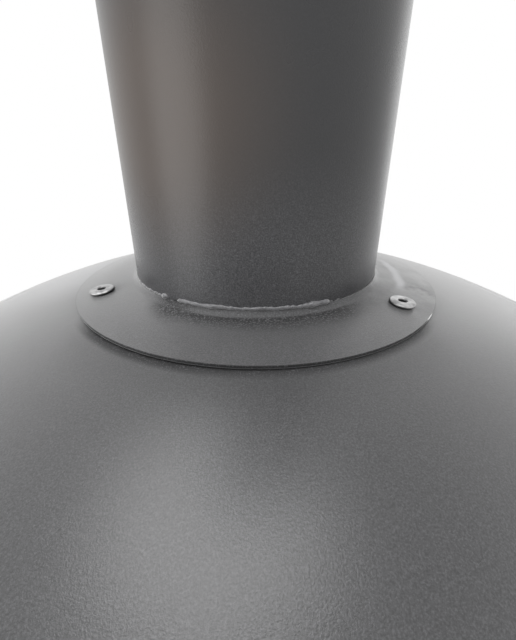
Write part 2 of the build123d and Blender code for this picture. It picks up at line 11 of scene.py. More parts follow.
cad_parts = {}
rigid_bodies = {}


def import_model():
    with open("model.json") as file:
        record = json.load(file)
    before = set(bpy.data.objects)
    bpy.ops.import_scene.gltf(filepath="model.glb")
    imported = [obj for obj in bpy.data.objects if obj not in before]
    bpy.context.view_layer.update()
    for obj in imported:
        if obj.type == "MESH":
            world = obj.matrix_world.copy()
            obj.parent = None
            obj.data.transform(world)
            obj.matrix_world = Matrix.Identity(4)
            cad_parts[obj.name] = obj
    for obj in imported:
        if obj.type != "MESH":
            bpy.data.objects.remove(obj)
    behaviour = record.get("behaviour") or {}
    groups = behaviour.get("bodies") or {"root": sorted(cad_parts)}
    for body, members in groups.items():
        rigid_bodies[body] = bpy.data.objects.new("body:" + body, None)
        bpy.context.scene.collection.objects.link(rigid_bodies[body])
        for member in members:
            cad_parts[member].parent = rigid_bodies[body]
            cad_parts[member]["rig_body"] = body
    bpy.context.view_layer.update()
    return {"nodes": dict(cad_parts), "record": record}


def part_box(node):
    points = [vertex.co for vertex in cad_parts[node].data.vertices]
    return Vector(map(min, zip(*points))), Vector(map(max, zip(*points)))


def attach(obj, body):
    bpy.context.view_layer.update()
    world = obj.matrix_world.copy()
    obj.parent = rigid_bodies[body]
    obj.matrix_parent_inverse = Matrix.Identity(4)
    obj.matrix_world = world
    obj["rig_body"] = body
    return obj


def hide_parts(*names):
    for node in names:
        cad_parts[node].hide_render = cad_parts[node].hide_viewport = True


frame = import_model()

bl_info = {
    "name": "Globe fireplace",
    "version": (1, 0, 0),
    "blender": (4, 5, 0),
    "location": "3D View > Sidebar > Fireplace",
    "description": "Builds the painted, riveted and welded pieces of a globe-shaped outdoor fireplace",
    "category": "Object",
}

# Sizes in metres and angles in degrees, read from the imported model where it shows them
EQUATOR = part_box("upper_dome")[0].z
RIM_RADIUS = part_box("upper_dome")[1].x
GLOBE_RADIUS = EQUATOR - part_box("lower_bowl")[0].z
SHELL_SHEET = 0.002
RIM_BEND = 0.004
RIM_BOLTS = 8
RIM_BOLT_RADIUS = RIM_RADIUS - 0.009

# Flue
FLUE_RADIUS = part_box("upper_flue")[1].x
FLUE_SHEET = 0.0015
FLUE_BORE = FLUE_RADIUS - FLUE_SHEET
FLUE_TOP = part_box("upper_flue")[1].z
SPIGOT_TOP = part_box("lower_flue")[1].z
SPIGOT_LENGTH = 0.045
SPIGOT_CLEARANCE = 0.0001
SEAT_GAP = 0.0003
LIP_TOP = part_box("flue_collar")[1].z

# Flue's collar
COLLAR_RADIUS = 0.075
COLLAR_SHEET = 0.0012
COLLAR_BLEND = 0.0030
COLLAR_EDGE = 0.00014
COLLAR_LIFT = 0.0005
COLLAR_LIFT_ANGLE = -128.0
COLLAR_LIFT_FROM = 0.058
COLLAR_RIPPLE = 0.12
COLLAR_RIPPLES = 4.0
COLLAR_CROWN = 0.0003
COLLAR_CROWN_REACH = 0.010
COLLAR_RIVET_RADIUS = 0.065
COLLAR_RIVETS = 3
COLLAR_RIVET_ANGLE = 83.6
COLLAR_RIVET_LEAN = 5.5
COLLAR_RIVET_RISE = 1.5 * COLLAR_CROWN
JOINT_GAP = 0.0003

# Mouth and its collar
MOUTH_ELEVATION = 33.0
MOUTH_RADIUS = 0.150
MOUTH_SHEET = 0.0015
MOUTH_BLEND = 0.005
MOUTH_LIP = 0.014
MOUTH_FLANGE = 0.020
MOUTH_TURN = MOUTH_SHEET + MOUTH_BLEND
MOUTH_TOP = MOUTH_LIP + sqrt((GLOBE_RADIUS + SEAT_GAP + MOUTH_TURN) ** 2 - (MOUTH_RADIUS + MOUTH_TURN) ** 2)
MOUTH_CUT = (0.2, 0.4)
MOUTH_RIVET_RADIUS = 0.162
MOUTH_RIVETS = 8

# Rain cap, its band and its straps
CAP_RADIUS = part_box("rain_cap")[1].x
CAP_SHEET = 0.0012
CAP_SLOPE = 20.0
CAP_BEND = 0.0022
CAP_TIP = 0.012
CAP_LEAN = radians(CAP_SLOPE)
CAP_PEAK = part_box("rain_cap")[1].z - CAP_SHEET / 2 + CAP_TIP * (1 / cos(CAP_LEAN) - 1)
CAP_UNDER = CAP_PEAK - CAP_SHEET / 2 / cos(CAP_LEAN)
CAP_UPPER = CAP_PEAK + CAP_SHEET / 2 / cos(CAP_LEAN)
CAP_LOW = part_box("rain_cap")[0].z
BAND_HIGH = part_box("cap_band")[1].z
BAND_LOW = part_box("cap_band")[0].z
BAND_SHEET = 0.0015
BAND_BEND = 0.0005
BAND_RADIUS = FLUE_RADIUS + SEAT_GAP
STRAP_WIDTH = 0.016
STRAP_SHEET = 0.002
STRAP_BEND = 0.006
STRAP_OVERLAP = 0.030
STRAP_TAB = 0.024
STRAP_CORNER = 0.003
SPOT_WELDS = (0.009, 0.021)
STRAP_RADIUS = BAND_RADIUS + BAND_SHEET + STRAP_SHEET / 2
CAP_RIVET_RADIUS = STRAP_RADIUS - 0.014
STRAP_BOW = (STRAP_WIDTH / 2) ** 2 / (2 * CAP_RIVET_RADIUS)

# Door
DOOR_BACK = MOUTH_TOP + SEAT_GAP
DOOR_SHEET = 0.003
DOOR_FRONT = DOOR_BACK + DOOR_SHEET
DOOR_OUTER = 0.162
DOOR_INNER = 0.124
CLAMP_OUTER = 0.144
CLAMP_INNER = 0.126
CLAMP_SHEET = 0.002
SCREEN_SHEET = 0.0015
SCREEN_RADIUS = CLAMP_OUTER - 0.001
DOOR_RIVET_RADIUS = 0.135

# Hinges
HINGE_SIDE = 0.178
HINGE_LEVELS = (-0.060, 0.060)
HINGE_HEIGHT = DOOR_BACK + DOOR_SHEET / 2
PIN_RADIUS = 0.003
PIN_PLAY = 0.00005
PIN_EDGE = 0.0002
EYE_RADIUS = PIN_RADIUS + PIN_PLAY + DOOR_SHEET
EYE_BEND = 0.004
EYE_MOUTH = 50.0
EYE_LENGTH = 0.020
TAB_SHEET = DOOR_SHEET - 0.00004
TAB_CORNER = 0.0005
LUG_SHEET = 0.004
LUG_FOOT = 0.026
LUG_CORNER = 0.0008
LUG_STEPS = 5

# Latch, keeper and knob
LATCH_SIDE = 0.163
LATCH_LENGTH = 0.048
LATCH_WIDTH = 0.009
LATCH_SHEET = 0.003
LATCH_EYE = 0.007
LATCH_EAR = 0.010
LATCH_EDGE = 0.0005
LATCH_BACK = DOOR_FRONT + 0.0006
LATCH_FRONT = LATCH_BACK + LATCH_SHEET
KEEPER_SIDE = 0.190
KEEPER_SHEET = 0.004
KEEPER_WIDTH = 0.026
KEEPER_TONGUE = 0.006
KEEPER_CLEARANCE = 0.0008
KEEPER_CORNER = 0.0012
KNOB_RADIUS = 0.010
KNOB_NECK = 0.0045
KNOB_HEIGHT = 0.026
KNOB_FOOT = 0.002
KNOB_WAIST = 0.0035
KNOB_FLAT = 0.004
KNOB_EDGE = 0.0003
KNOB_STEPS = 12

# Grate
GRATE_RADIUS = 0.140
GRATE_RIM = 0.009
GRATE_BAR = 0.007
GRATE_PITCH = 0.022
GRATE_EDGE = 0.0011
GRATE_CORNER = 0.0025
GRATE_LEAST = 0.004
GRATE_STEPS = 4

# Legs
LEG_WIDTH = 0.040
LEG_SHEET = 0.006
LEG_TOP_ANGLE = 20.0
LEG_KNEE_ANGLE = 42.0
LEG_KNEE_BEND = 0.020
LEG_SPLAY = 8.0
LEG_ANKLE_BEND = 0.012
LEG_CORNER = 0.010
LEG_EDGE = 0.0008
FOOT_LENGTH = 0.045
LEG_BOLT_ANGLES = (26.0, 36.0)

# Ways in which the legs, the cap's straps and the flue's screws point
THREE_WAYS = {"back": 90.0, "left": 210.0, "right": 330.0}

# Bolts, nuts and screws
M6 = {"d": 0.006, "flats": 0.010, "head": 0.004, "nut": 0.005}
M8 = {"d": 0.008, "flats": 0.013, "head": 0.0053, "nut": 0.0065}
SCREW = {"d": 0.0042, "flats": 0.008, "head": 0.0032}
BOLT_NECK = 0.0015
BOLT_TIP = 0.0006
BOLT_TIP_CUT = 0.0008
SCREW_LENGTH = 0.009
SCREW_NECK = 0.0004
SCREW_TIP = 0.002
SCREW_COARSE = 1.4
M6_HOLE = M6["d"] / 2 + PIN_PLAY
THREAD_OUT = 0.003
THREAD_DEPTH = 0.54
HEX_LAND = 0.47
HEX_CHAMFER = tan(radians(30))

# Fineness of the meshes
AROUND = 256
SMALL_AROUND = 40
HEX_AROUND = 48
KNOB_AROUND = 64
SPOT_AROUND = 32
WELD_AROUND = 1440
BEAD_STEPS = 10
WIRE_SIDES = 6
WIRE_STEPS = 8
ARC_STEP = 6.0
ARC_RUN = 0.004
MERGE = 1e-7
SHARP = radians(32)

# Places: the globe's centre, and the mouth's axis with its back at the centre
GLOBE = Matrix.Translation((0, 0, EQUATOR))
UP = Vector((0, 0, 1))
MOUTH_OUT = Vector((0, -cos(radians(MOUTH_ELEVATION)), sin(radians(MOUTH_ELEVATION))))
MOUTH_UP = Vector((0, sin(radians(MOUTH_ELEVATION)), cos(radians(MOUTH_ELEVATION))))
MOUTH = GLOBE @ Matrix((Vector((1, 0, 0)), MOUTH_UP, MOUTH_OUT)).transposed().to_4x4()


class FireplaceSizes(bpy.types.PropertyGroup):
    """Sizes of the small forms that finish the fireplace."""

    edge: FloatProperty(
        name="Edge radius", description="Radius that deburring gives to sheet edges", default=0.0003,
        min=0.0001, max=0.001, unit="LENGTH",
    )
    bead: FloatProperty(
        name="Weld bead", description="Half the height of the flue's weld bead", default=0.00050,
        min=0.0002, max=0.001, unit="LENGTH",
    )
    wire: FloatProperty(
        name="Screen wire", description="Diameter of the spark screen's wire", default=0.0011,
        min=0.0006, max=0.002, unit="LENGTH",
    )
    pitch: FloatProperty(
        name="Screen pitch", description="Distance from wire to wire", default=0.0085,
        min=0.005, max=0.017, unit="LENGTH",
    )
    thread: FloatProperty(
        name="Thread pitch", description="Distance from turn to turn of the bolts' threads", default=0.001,
        min=0.0005, max=0.002, unit="LENGTH",
    )


class FireplaceColours(bpy.types.PropertyGroup):
    """Colours of the finishes."""

    paint: FloatVectorProperty(
        name="Heat paint", description="Charcoal paint of the sheet steel", subtype="COLOR",
        default=(0.0462, 0.0462, 0.0488), min=0, max=1,
    )
    worn: FloatVectorProperty(
        name="Worn paint", description="Paint that is rubbed thin on the rivet heads", subtype="COLOR",
        default=(0.45, 0.45, 0.45), min=0, max=1,
    )
    soot: FloatVectorProperty(
        name="Soot", description="Soot inside the globe and the flue", subtype="COLOR",
        default=(0.012, 0.011, 0.010), min=0, max=1,
    )
    zinc: FloatVectorProperty(
        name="Zinc", description="Plating of the bolts and nuts", subtype="COLOR",
        default=(0.52, 0.52, 0.50), min=0, max=1,
    )
    iron: FloatVectorProperty(
        name="Cast iron", description="Raw iron of the grate", subtype="COLOR",
        default=(0.040, 0.037, 0.035), min=0, max=1,
    )
    haze: FloatProperty(
        name="Haze", description="Paleness of the paint where it is seen at a low angle", default=0.9,
        min=0, max=1,
    )
    grain: FloatProperty(
        name="Grain", description="Size of the paint's grain", default=0.00045, min=0.0002, max=0.002,
        unit="LENGTH",
    )


class FireplaceStage(bpy.types.PropertyGroup):
    """Floor, light and camera."""

    floor: FloatVectorProperty(
        name="Floor", description="Colour of the pale floor", subtype="COLOR", default=(0.80, 0.80, 0.80),
        min=0, max=1,
    )
    sky: FloatProperty(
        name="Sky", description="Strength of the white surroundings", default=0.62, min=0, max=2,
    )
    softbox: FloatProperty(
        name="Softbox", description="Power of the lamp overhead", default=60.0, min=0, max=200, unit="POWER",
    )
    panel: FloatProperty(
        name="Panel", description="Power of the lamp on the left", default=21.0, min=0, max=200, unit="POWER",
    )
    rim: FloatProperty(
        name="Rim light", description="Power of the lamp behind, on the right", default=7.5, min=0, max=200,
        unit="POWER",
    )
    lens: FloatProperty(
        name="Lens", description="Focal length for a sensor 36 mm high", default=20.64, min=10, max=200,
    )


# Lines of (radius, height) points
def arc(centre, radius, start, end):
    """Points of an arc, by angle in degrees."""
    steps = max(ceil(abs(end - start) / ARC_STEP), ceil(radians(abs(end - start)) * radius / ARC_RUN))
    angles = [radians(start + (end - start) * i / steps) for i in range(steps + 1)]
    return [Vector((centre[0] + radius * cos(a), centre[1] + radius * sin(a))) for a in angles]


def walls(line, sheet):
    """Closed outline of a bent sheet from its centre line."""
    left, right = [], []
    for i, point in enumerate(line):
        along = (line[min(i + 1, len(line) - 1)] - line[max(i - 1, 0)]).normalized()
        side = Vector((-along.y, along.x)) * sheet / 2
        left.append(point + side)
        right.append(point - side)
    return left + right[::-1]


# Rounded corners: the share of a side that one may take, and how far off the point beside it lies.
# Sheet edges: how far the middle of the rounding is cut in, and where the flat begins, in radii
CORNER_SHARE = 0.3
BESIDE = 1.6
EDGE_MIDDLE = 0.29
EDGE_BESIDE = 1.8


def eased(outline, edge, closed=True):
    """The same outline with its corners rounded, and a point beside each so that the flats stay flat."""
    points = [Vector(p) for p in outline]
    made = []
    for i, point in enumerate(points):
        if not closed and i in (0, len(points) - 1):
            made.append(point)
            continue
        before, after = point - points[i - 1], points[(i + 1) % len(points)] - point
        if min(before.length, after.length) < MERGE or before.angle(after) < SHARP:
            made.append(point)
            continue
        cut = min(edge, before.length * CORNER_SHARE, after.length * CORNER_SHARE)
        start, end = point - before.normalized() * cut, point + after.normalized() * cut
        made.append(point - before.normalized() * cut * BESIDE)
        for t in (0, 0.33, 0.67, 1):
            made.append(start * (1 - t) ** 2 + point * 2 * t * (1 - t) + end * t**2)
        made.append(point + after.normalized() * cut * BESIDE)
    return made


class Pen:
    """Line drawn by going straight and round bends."""

    def __init__(self, start, heading):
        self.line = [Vector(start)]
        self.heading = heading

    def go(self, length):
        way = radians(self.heading)
        self.line.append(self.line[-1] + Vector((cos(way), sin(way))) * length)
        return self

    def bend(self, radius, angle):
        """Turn left by an angle in degrees, or right where it is negative."""
        side = 90 if angle > 0 else -90
        way = radians(self.heading + side)
        centre = self.line[-1] + Vector((cos(way), sin(way))) * radius
        self.line += arc(centre, radius, self.heading - side, self.heading - side + angle)[1:]
        self.heading += angle
        return self


def polar(radius, angle, height=0.0):
    """Place at a radius, at an angle in radians about Z and at a height."""
    return Vector((radius * cos(angle), radius * sin(angle), height))


def around(count, first=0.0):
    """Angles in radians of count places spread evenly about Z."""
    return [radians(first + 360.0 * i / count) for i in range(count)]


def circle(centre, radius, start=0, end=360):
    """Points round a circle, without the last where it closes."""
    points = arc(centre, radius, start, end)
    return points[:-1] if abs(end - start) == 360 else points


def round_hole(centre, radius):
    """Points round a circle, clockwise as holes turn."""
    return circle(centre, radius)[::-1]


def inset(outline, depth):
    """Closed outline moved inwards, or outwards where it turns clockwise."""
    moved = []
    for i, point in enumerate(outline):
        before = (point - outline[i - 1]).normalized()
        after = (outline[(i + 1) % len(outline)] - point).normalized()
        along = (before + after).normalized()
        stretch = max(along.dot(after), 0.5)
        moved.append(point + Vector((-along.y, along.x)) * depth / stretch)
    return moved


# Meshes
def finished(name, mesh, place=Matrix()):
    """Object of a bmesh, merged, facing outwards and smooth but for its corners."""
    bmesh.ops.remove_doubles(mesh, verts=mesh.verts, dist=MERGE)
    bmesh.ops.transform(mesh, matrix=place, verts=mesh.verts)
    bmesh.ops.recalc_face_normals(mesh, faces=mesh.faces)
    data = bpy.data.meshes.new(name)
    mesh.to_mesh(data)
    mesh.free()
    return placed(name, data)


def smooth(data):
    data.shade_smooth()
    data.set_sharp_from_angle(angle=SHARP)


def placed(name, data):
    """Object of a mesh, smooth but for its corners."""
    smooth(data)
    piece = bpy.data.objects.new(name, data)
    bpy.context.scene.collection.objects.link(piece)
    return piece


def turned(name, outline, place=Matrix(), sides=AROUND, closed=True):
    """Solid turned about Z from (radius, height) points, or from a function of the angle that gives them."""
    section = outline if callable(outline) else lambda angle: outline
    mesh = bmesh.new()
    columns = []
    for i in range(sides):
        angle = 2 * pi * i / sides
        columns.append([mesh.verts.new((r * cos(angle), r * sin(angle), z)) for r, z in section(angle)])
    count = len(columns[0])
    for here, there in zip(columns, columns[1:] + columns[:1]):
        for j in range(count if closed else count - 1):
            k = (j + 1) % count
            mesh.faces.new((here[j], there[j], there[k], here[k]))
    return finished(name, mesh, place)


def plate(name, outer, holes, low, high, place, edge=None):
    """Flat sheet with rounded edges. outer turns anticlockwise and holes clockwise."""
    e = edge or sizes().edge
    slant, beside = e * EDGE_MIDDLE, e * EDGE_BESIDE
    levels = [(beside, low), (e, low), (slant, low + slant), (0, low + e), (0, low + beside)]
    levels += [(depth, low + high - z) for depth, z in reversed(levels)]
    mesh = bmesh.new()
    ends = {0: [], len(levels) - 1: []}
    for outline in (outer, *holes):
        loops = []
        for level, (depth, z) in enumerate(levels):
            points = [Vector((x, y, z)) for x, y in inset(outline, depth)]
            loops.append([mesh.verts.new(point) for point in points])
            if level in ends:
                ends[level].append(points)
        for here, there in zip(loops, loops[1:]):
            for j in range(len(here)):
                mesh.faces.new((here[j], here[j - 1], there[j - 1], there[j]))
    for outlines in ends.values():
        corners = [mesh.verts.new(point) for points in outlines for point in points]
        for triangle in tessellate_polygon(outlines):
            mesh.faces.new([corners[k] for k in triangle])
    return finished(name, mesh, place)


def strip(name, line, width, sheet, corner, place, edge=None):
    """Flat bar bent along a line in the XZ plane, with rounded edges and end corners."""
    e = edge or sizes().edge
    run = [0.0]
    for here, there in zip(line, line[1:]):
        run.append(run[-1] + (there - here).length)
    ends = [corner * (1 - cos(radians(a))) for a in range(0, 91, 15)] + [e * 0.15, e * 0.5, e, corner + e]
    stops = sorted({round(d, 7) for d in run + ends + [run[-1] - d for d in ends]})
    mesh = bmesh.new()
    rings = []
    for stop in stops:
        i = min(max(bisect(run, stop) - 1, 0), len(line) - 2)
        share = (stop - run[i]) / (run[i + 1] - run[i])
        along = (line[i + 1] - line[i]).normalized()
        before = (line[i] - line[max(i - 1, 0)] + along * MERGE).normalized() + along
        after = (line[min(i + 2, len(line) - 1)] - line[i + 1] + along * MERGE).normalized() + along
        along = (before.normalized() * (1 - share) + after.normalized() * share).normalized()
        spot = line[i].lerp(line[i + 1], share)
        depth = min(stop, run[-1] - stop)
        lost = corner - sqrt(max(corner**2 - max(corner - depth, 0) ** 2, 0))
        thin = e - sqrt(max(e**2 - max(e - depth, 0) ** 2, 0))
        half, thick = width / 2 - lost - thin, sheet / 2 - thin
        ring = []
        for quarter, (across, up) in enumerate(((1, 1), (-1, 1), (-1, -1), (1, -1))):
            for turn in (0, 22.5, 45, 67.5, 90):
                angle = radians(turn + 90 * quarter)
                y = across * (half - e) + e * cos(angle)
                lift = up * (thick - e) + e * sin(angle)
                ring.append(mesh.verts.new((spot.x - along.y * lift, y, spot.y + along.x * lift)))
        rings.append(ring)
    for here, there in zip(rings, rings[1:]):
        for j in range(len(here)):
            mesh.faces.new((here[j], here[j - 1], there[j - 1], there[j]))
    mesh.faces.new(rings[0])
    mesh.faces.new(rings[-1])
    return finished(name, mesh, place)


def joined(name, pieces):
    """One piece of several."""
    mesh = bmesh.new()
    for piece in pieces:
        mesh.from_mesh(piece.data)
        bpy.data.objects.remove(piece)
    return finished(name, mesh)


def flatten(piece):
    """Put the result of a piece's modifiers in its mesh and remove them."""
    evaluated = piece.evaluated_get(bpy.context.evaluated_depsgraph_get())
    data = bpy.data.meshes.new_from_object(evaluated)
    data.name = piece.name
    piece.modifiers.clear()
    piece.data = data
    return piece


def carved(piece, cutter):
    """Cut one piece out of another."""
    tool = piece.modifiers.new("Cut", "BOOLEAN")
    tool.operation = "DIFFERENCE"
    tool.solver = "EXACT"
    tool.object = cutter
    flatten(piece)
    bpy.data.objects.remove(cutter)
    smooth(piece.data)
    return piece


SLOT_OF = {part["node"]: part["material_slot"] for part in frame["record"]["subparts"]}


def dress(piece, node):
    """Give a piece the finish of the node that it stands for, and its body."""
    slot = SLOT_OF[node]
    piece.data.materials.clear()
    piece.data.materials.append(finish(slot))
    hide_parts(node)
    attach(piece, frame["nodes"][node]["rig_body"])
    return piece


class Wire:
    """A node's socket. An expression on wires adds the Math nodes that work it out."""

    def __init__(self, socket):
        self.socket = socket

    def make(self, kind, settings=None, inputs=None, output=0):
        """Any other node: its type, its settings, then the values or wires of its sockets."""
        node = self.socket.id_data.nodes.new(kind)
        for name, value in (settings or {}).items():
            setattr(node, name, value)
        for key, value in (inputs or {}).items():
            if isinstance(value, Wire):
                node.id_data.links.new(value.socket, node.inputs[key])
            else:
                node.inputs[key].default_value = value
        return Wire(node.outputs[output]) if node.outputs else None

    def math(self, operation, *values):
        return self.make("ShaderNodeMath", {"operation": operation}, dict(enumerate(values)))

    def __add__(self, other):
        return self.math("ADD", self, other)

    def __radd__(self, other):
        return self.math("ADD", other, self)

    def __sub__(self, other):
        return self.math("SUBTRACT", self, other)

    def __rsub__(self, other):
        return self.math("SUBTRACT", other, self)

    def __truediv__(self, other):
        return self.math("DIVIDE", self, other)

    def __rtruediv__(self, other):
        return self.math("DIVIDE", other, self)

    def __mul__(self, other):
        return self.math("MULTIPLY", self, other)

    def __rmul__(self, other):
        return self.math("MULTIPLY", other, self)

    def span(self, low, high):
        """0 below low, 1 above high and smooth between."""
        if low > high:
            return 1 - self.span(high, low)
        settings = {"interpolation_type": "SMOOTHSTEP"}
        return self.make("ShaderNodeMapRange", settings, {0: self, 1: low, 2: high})

    def mix(self, first, second):
        """Colour that goes from first to second with this value."""
        return self.make("ShaderNodeMix", {"data_type": "RGBA"}, {0: self, 6: first, 7: second}, 2)

    def vector(self, operation, *values, output=0):
        return self.make("ShaderNodeVectorMath", {"operation": operation}, dict(enumerate(values)), output)

    def noise(self, size, detail=2.0, rough=0.5):
        """Cloudy values between 0 and 1 whose features have this size, from a place."""
        inputs = {"Vector": self, "Scale": 1 / size, "Detail": detail, "Roughness": rough}
        return self.make("ShaderNodeTexNoise", None, inputs)

    def distance(self, centre):
        return self.vector("DISTANCE", self, centre, output=1)

    def mark(self, middle, gone, full, ragged=None):
        """Round mark about a middle: nothing from one distance on, whole within the other."""
        away = self.distance(middle)
        return (away + ragged if ragged else away).span(gone, full)

    def from_axis(self):
        """Distance from the flue's axis."""
        return self.vector("MULTIPLY", self, (1, 1, 0)).vector_length()

    def vector_length(self):
        return self.vector("LENGTH", self, output=1)

    def height(self):
        return self.make("ShaderNodeSeparateXYZ", None, {0: self}, 2)

    def bumps(self, strength, distance):
        """Normal of a surface whose height this value gives."""
        return self.make("ShaderNodeBump", None, {"Height": self, "Strength": strength, "Distance": distance})


def colours():
    return bpy.context.scene.fireplace_colours


def sizes():
    return bpy.context.scene.fireplace_sizes


def shade(colour, factor):
    return (*[min(c * factor, 1) for c in colour[:3]], 1)


# Round marks on the crown: middle, distance where each is gone, distance within which it is whole
# Painted highlight on the dome's back left
PAINTED_HIGHLIGHT_PATCH = ((-0.084, 0.012, 0.858), 0.040, 0.008)
# Front, where painted shade falls under the collar's edge and on its cut edge
SHADED_FRONT_SIDE = ((0, -COLLAR_RADIUS, 0.862), 0.074, 0.055)
# Front left, where a deeper shadow gap is painted under the collar's edge
DEEP_SHADOW_SIDE = ((-0.042, -0.062, 0.862), 0.036, 0.018)
GRIT_AND_SHADE_SIDE = ((0, -0.055, 0.867), 0.043, 0.030)
LIP_SIDE = ((0.012, -0.052, 0.868), 0.042, 0.024)
# Front of the collar, where painted shade darkens it
PAINTED_SHADE_SIDE = ((0.026, -0.060, 0.866), 0.052, 0.024)
# Painted reflection streak behind the right rivet
REFLECTION_STREAK_SIDE = ((0.0600, -0.0060, 0.866), 0.026, 0.012)
SCUFF = ((0.0640, -0.0230, 0.865), 0.010, 0.003)
BLOTCH = ((0.060, -0.020, 0.866), 0.040, 0.020)
GLINT = ((0.0605, -0.0440, 0.8638), 0.0045, 0.001)
# Painted warm reflection on the pipe's left side
WARM_REFLECTION_SIDE = ((-0.030, -0.041, 0.925), 0.050, 0.010)

# Rings round the flue: radius where each is gone, radius where it is whole
# Painted shadow and shade on the dome under the collar's edge
PAINTED_SHADOW_LINE = (COLLAR_RADIUS + 0.0036, COLLAR_RADIUS + 0.0005)
PAINTED_SHADE_HAZE = (COLLAR_RADIUS + 0.0190, COLLAR_RADIUS + 0.0010)
PAINTED_SHADOW_GAP = (COLLAR_RADIUS + 0.0034, COLLAR_RADIUS + 0.0007)
CUT_EDGE = (COLLAR_RADIUS - 0.00010, COLLAR_RADIUS - 0.00004)
GLINT_EDGE = (COLLAR_RADIUS - 0.00025, COLLAR_RADIUS - 0.00010)
LIP_BEND = (0.0542, 0.0524)
LIP_FOOT = (0.0527, 0.0538)
FLUE_INSIDE = (FLUE_BORE + 0.0006, FLUE_BORE + 0.0002)
CAP_INSIDE = (CAP_RADIUS - 0.0004, CAP_RADIUS - 0.0009)
# Ring beside the weld with grit and painted shade
GRIT_AND_SHADE_BAND = (0.0625, 0.0535)
PAINTED_SHADE_RING = (0.0700, 0.0560)
REFLECTION_STREAK_RADIUS = 0.0612
REFLECTION_STREAK_WIDTH = (0.0030, 0.0004)

# Heights where a finish begins and where it is whole
CROWN = (EQUATOR + 0.30, EQUATOR + 0.31)
# Painted shade on the pipe, from just above its foot upwards
FLUE_PAINTED_SHADE = (LIP_TOP + 0.015, LIP_TOP + 0.050)
SCUFFED_FOOT = (0.030, 0.0)
CAP_BELOW = (CAP_UPPER - 0.0004, CAP_UPPER - 0.0009)
CAP_STAINED = (CAP_UNDER - 0.04, CAP_UNDER - 0.02)

# Distances from the globe's centre: the sooty inside of its sheet, and the sides of the rivets' heads, which
# get painted shade
GLOBE_INSIDE = (GLOBE_RADIUS - 0.0012, GLOBE_RADIUS - 0.0016)
RIVET_SHADED_SIDES = (GLOBE_RADIUS + 0.0030, GLOBE_RADIUS + 0.0026)

SPECKLE = 0.0006
PAINTED_GLINT_GREY = (0.75, 0.75, 0.75, 1)
# Colour of the painted warm reflection
WARM_REFLECTION_BROWN = (0.095, 0.072, 0.058, 1)
KNOB_STEEL = ((0.50, 0.49, 0.47, 1), (0.62, 0.61, 0.58, 1))
RUST = (0.085, 0.040, 0.022, 1)
DUST = (0.26, 0.25, 0.235, 1)


# Finishes: each takes the place on the piece and gives the shader's sockets
def heat_paint(place, grit=1.0, tone=1.0, haze=1.0):
    """Fine-grained, semi-matt charcoal paint."""
    paint, grain = colours().paint, colours().grain
    cloud, fine = place.noise(0.040, 3), place.noise(grain, 2, 0.7)
    base = cloud.mix(shade(paint, 0.94 * tone), shade(paint, 1.06 * tone))
    base = (fine.span(0.50, 0.68) * 0.6 * grit).mix(base, shade(paint, 2.2 * tone))
    base = (fine.span(0.50, 0.34) * 0.6 * grit).mix(base, shade(paint, 0.25 * tone))
    return {
        "Base Color": base,
        "Roughness": 0.25 + 0.06 * cloud,
        "Normal": (fine + 0.5 * cloud).bumps(0.6 * grit, 0.00008),
        "Sheen Weight": colours().haze * haze,
        "Sheen Roughness": 0.5,
    }


def tinted(looks, mask, colour):
    """Lay a colour on a finish where the mask says."""
    looks["Base Color"] = mask.mix(looks["Base Color"], colour)


def sooty(looks, mask, place):
    """Lay soot on a finish where the mask says."""
    soot = colours().soot
    tinted(looks, mask, place.noise(0.020, 4).mix(shade(soot, 0.7), shade(soot, 1.6)))
    looks["Roughness"] = looks["Roughness"] * (1 - mask) + 0.92 * mask
    return looks


def dark_grit_and_shade(place):
    """Matt, gritty black, which the finishes mix in as painted shade and shadow, and as scuffs and blotches.
    """
    paint, coarse = colours().paint, place.noise(SPECKLE, 2, 0.7)
    return {
        "Base Color": coarse.span(0.52, 0.64).mix(shade(paint, 0.2), shade(paint, 1.6)),
        "Roughness": 0.7,
        "Normal": coarse.bumps(0.8, 0.0002),
    }


def shell_finish(place):
    """Painted outside, sooty inside, with a painted highlight on the back left of the crown and a painted
    shadow, dark and gritty, in the corner under the collar's edge.
    """
    looks, out = heat_paint(place, 1.0, 0.86), place.from_axis()
    # Painted highlight: the dome's back left is painted paler, where the lamps light it brightly
    tinted(looks, 0.6 * place.mark(*PAINTED_HIGHLIGHT_PATCH), shade(colours().paint, 4.0))
    # Painted shadow under the collar's edge: a dark speckled line, a faint wider shade and a deeper gap on
    # the front left, on the front only
    speckled = 0.65 + 0.35 * place.noise(SPECKLE, 2).span(0.38, 0.58)
    corner = 0.85 * out.span(*PAINTED_SHADOW_LINE) * speckled
    corner = corner + 0.18 * out.span(*PAINTED_SHADE_HAZE) * (1 - corner)
    corner = corner + 0.6 * place.mark(*DEEP_SHADOW_SIDE) * out.span(*PAINTED_SHADOW_GAP) * (1 - corner)
    looks["Spray"] = corner * place.mark(*SHADED_FRONT_SIDE) * place.height().span(*CROWN)
    inside = place.distance((0, 0, EQUATOR)).span(*GLOBE_INSIDE)
    return sooty(looks, inside, place)


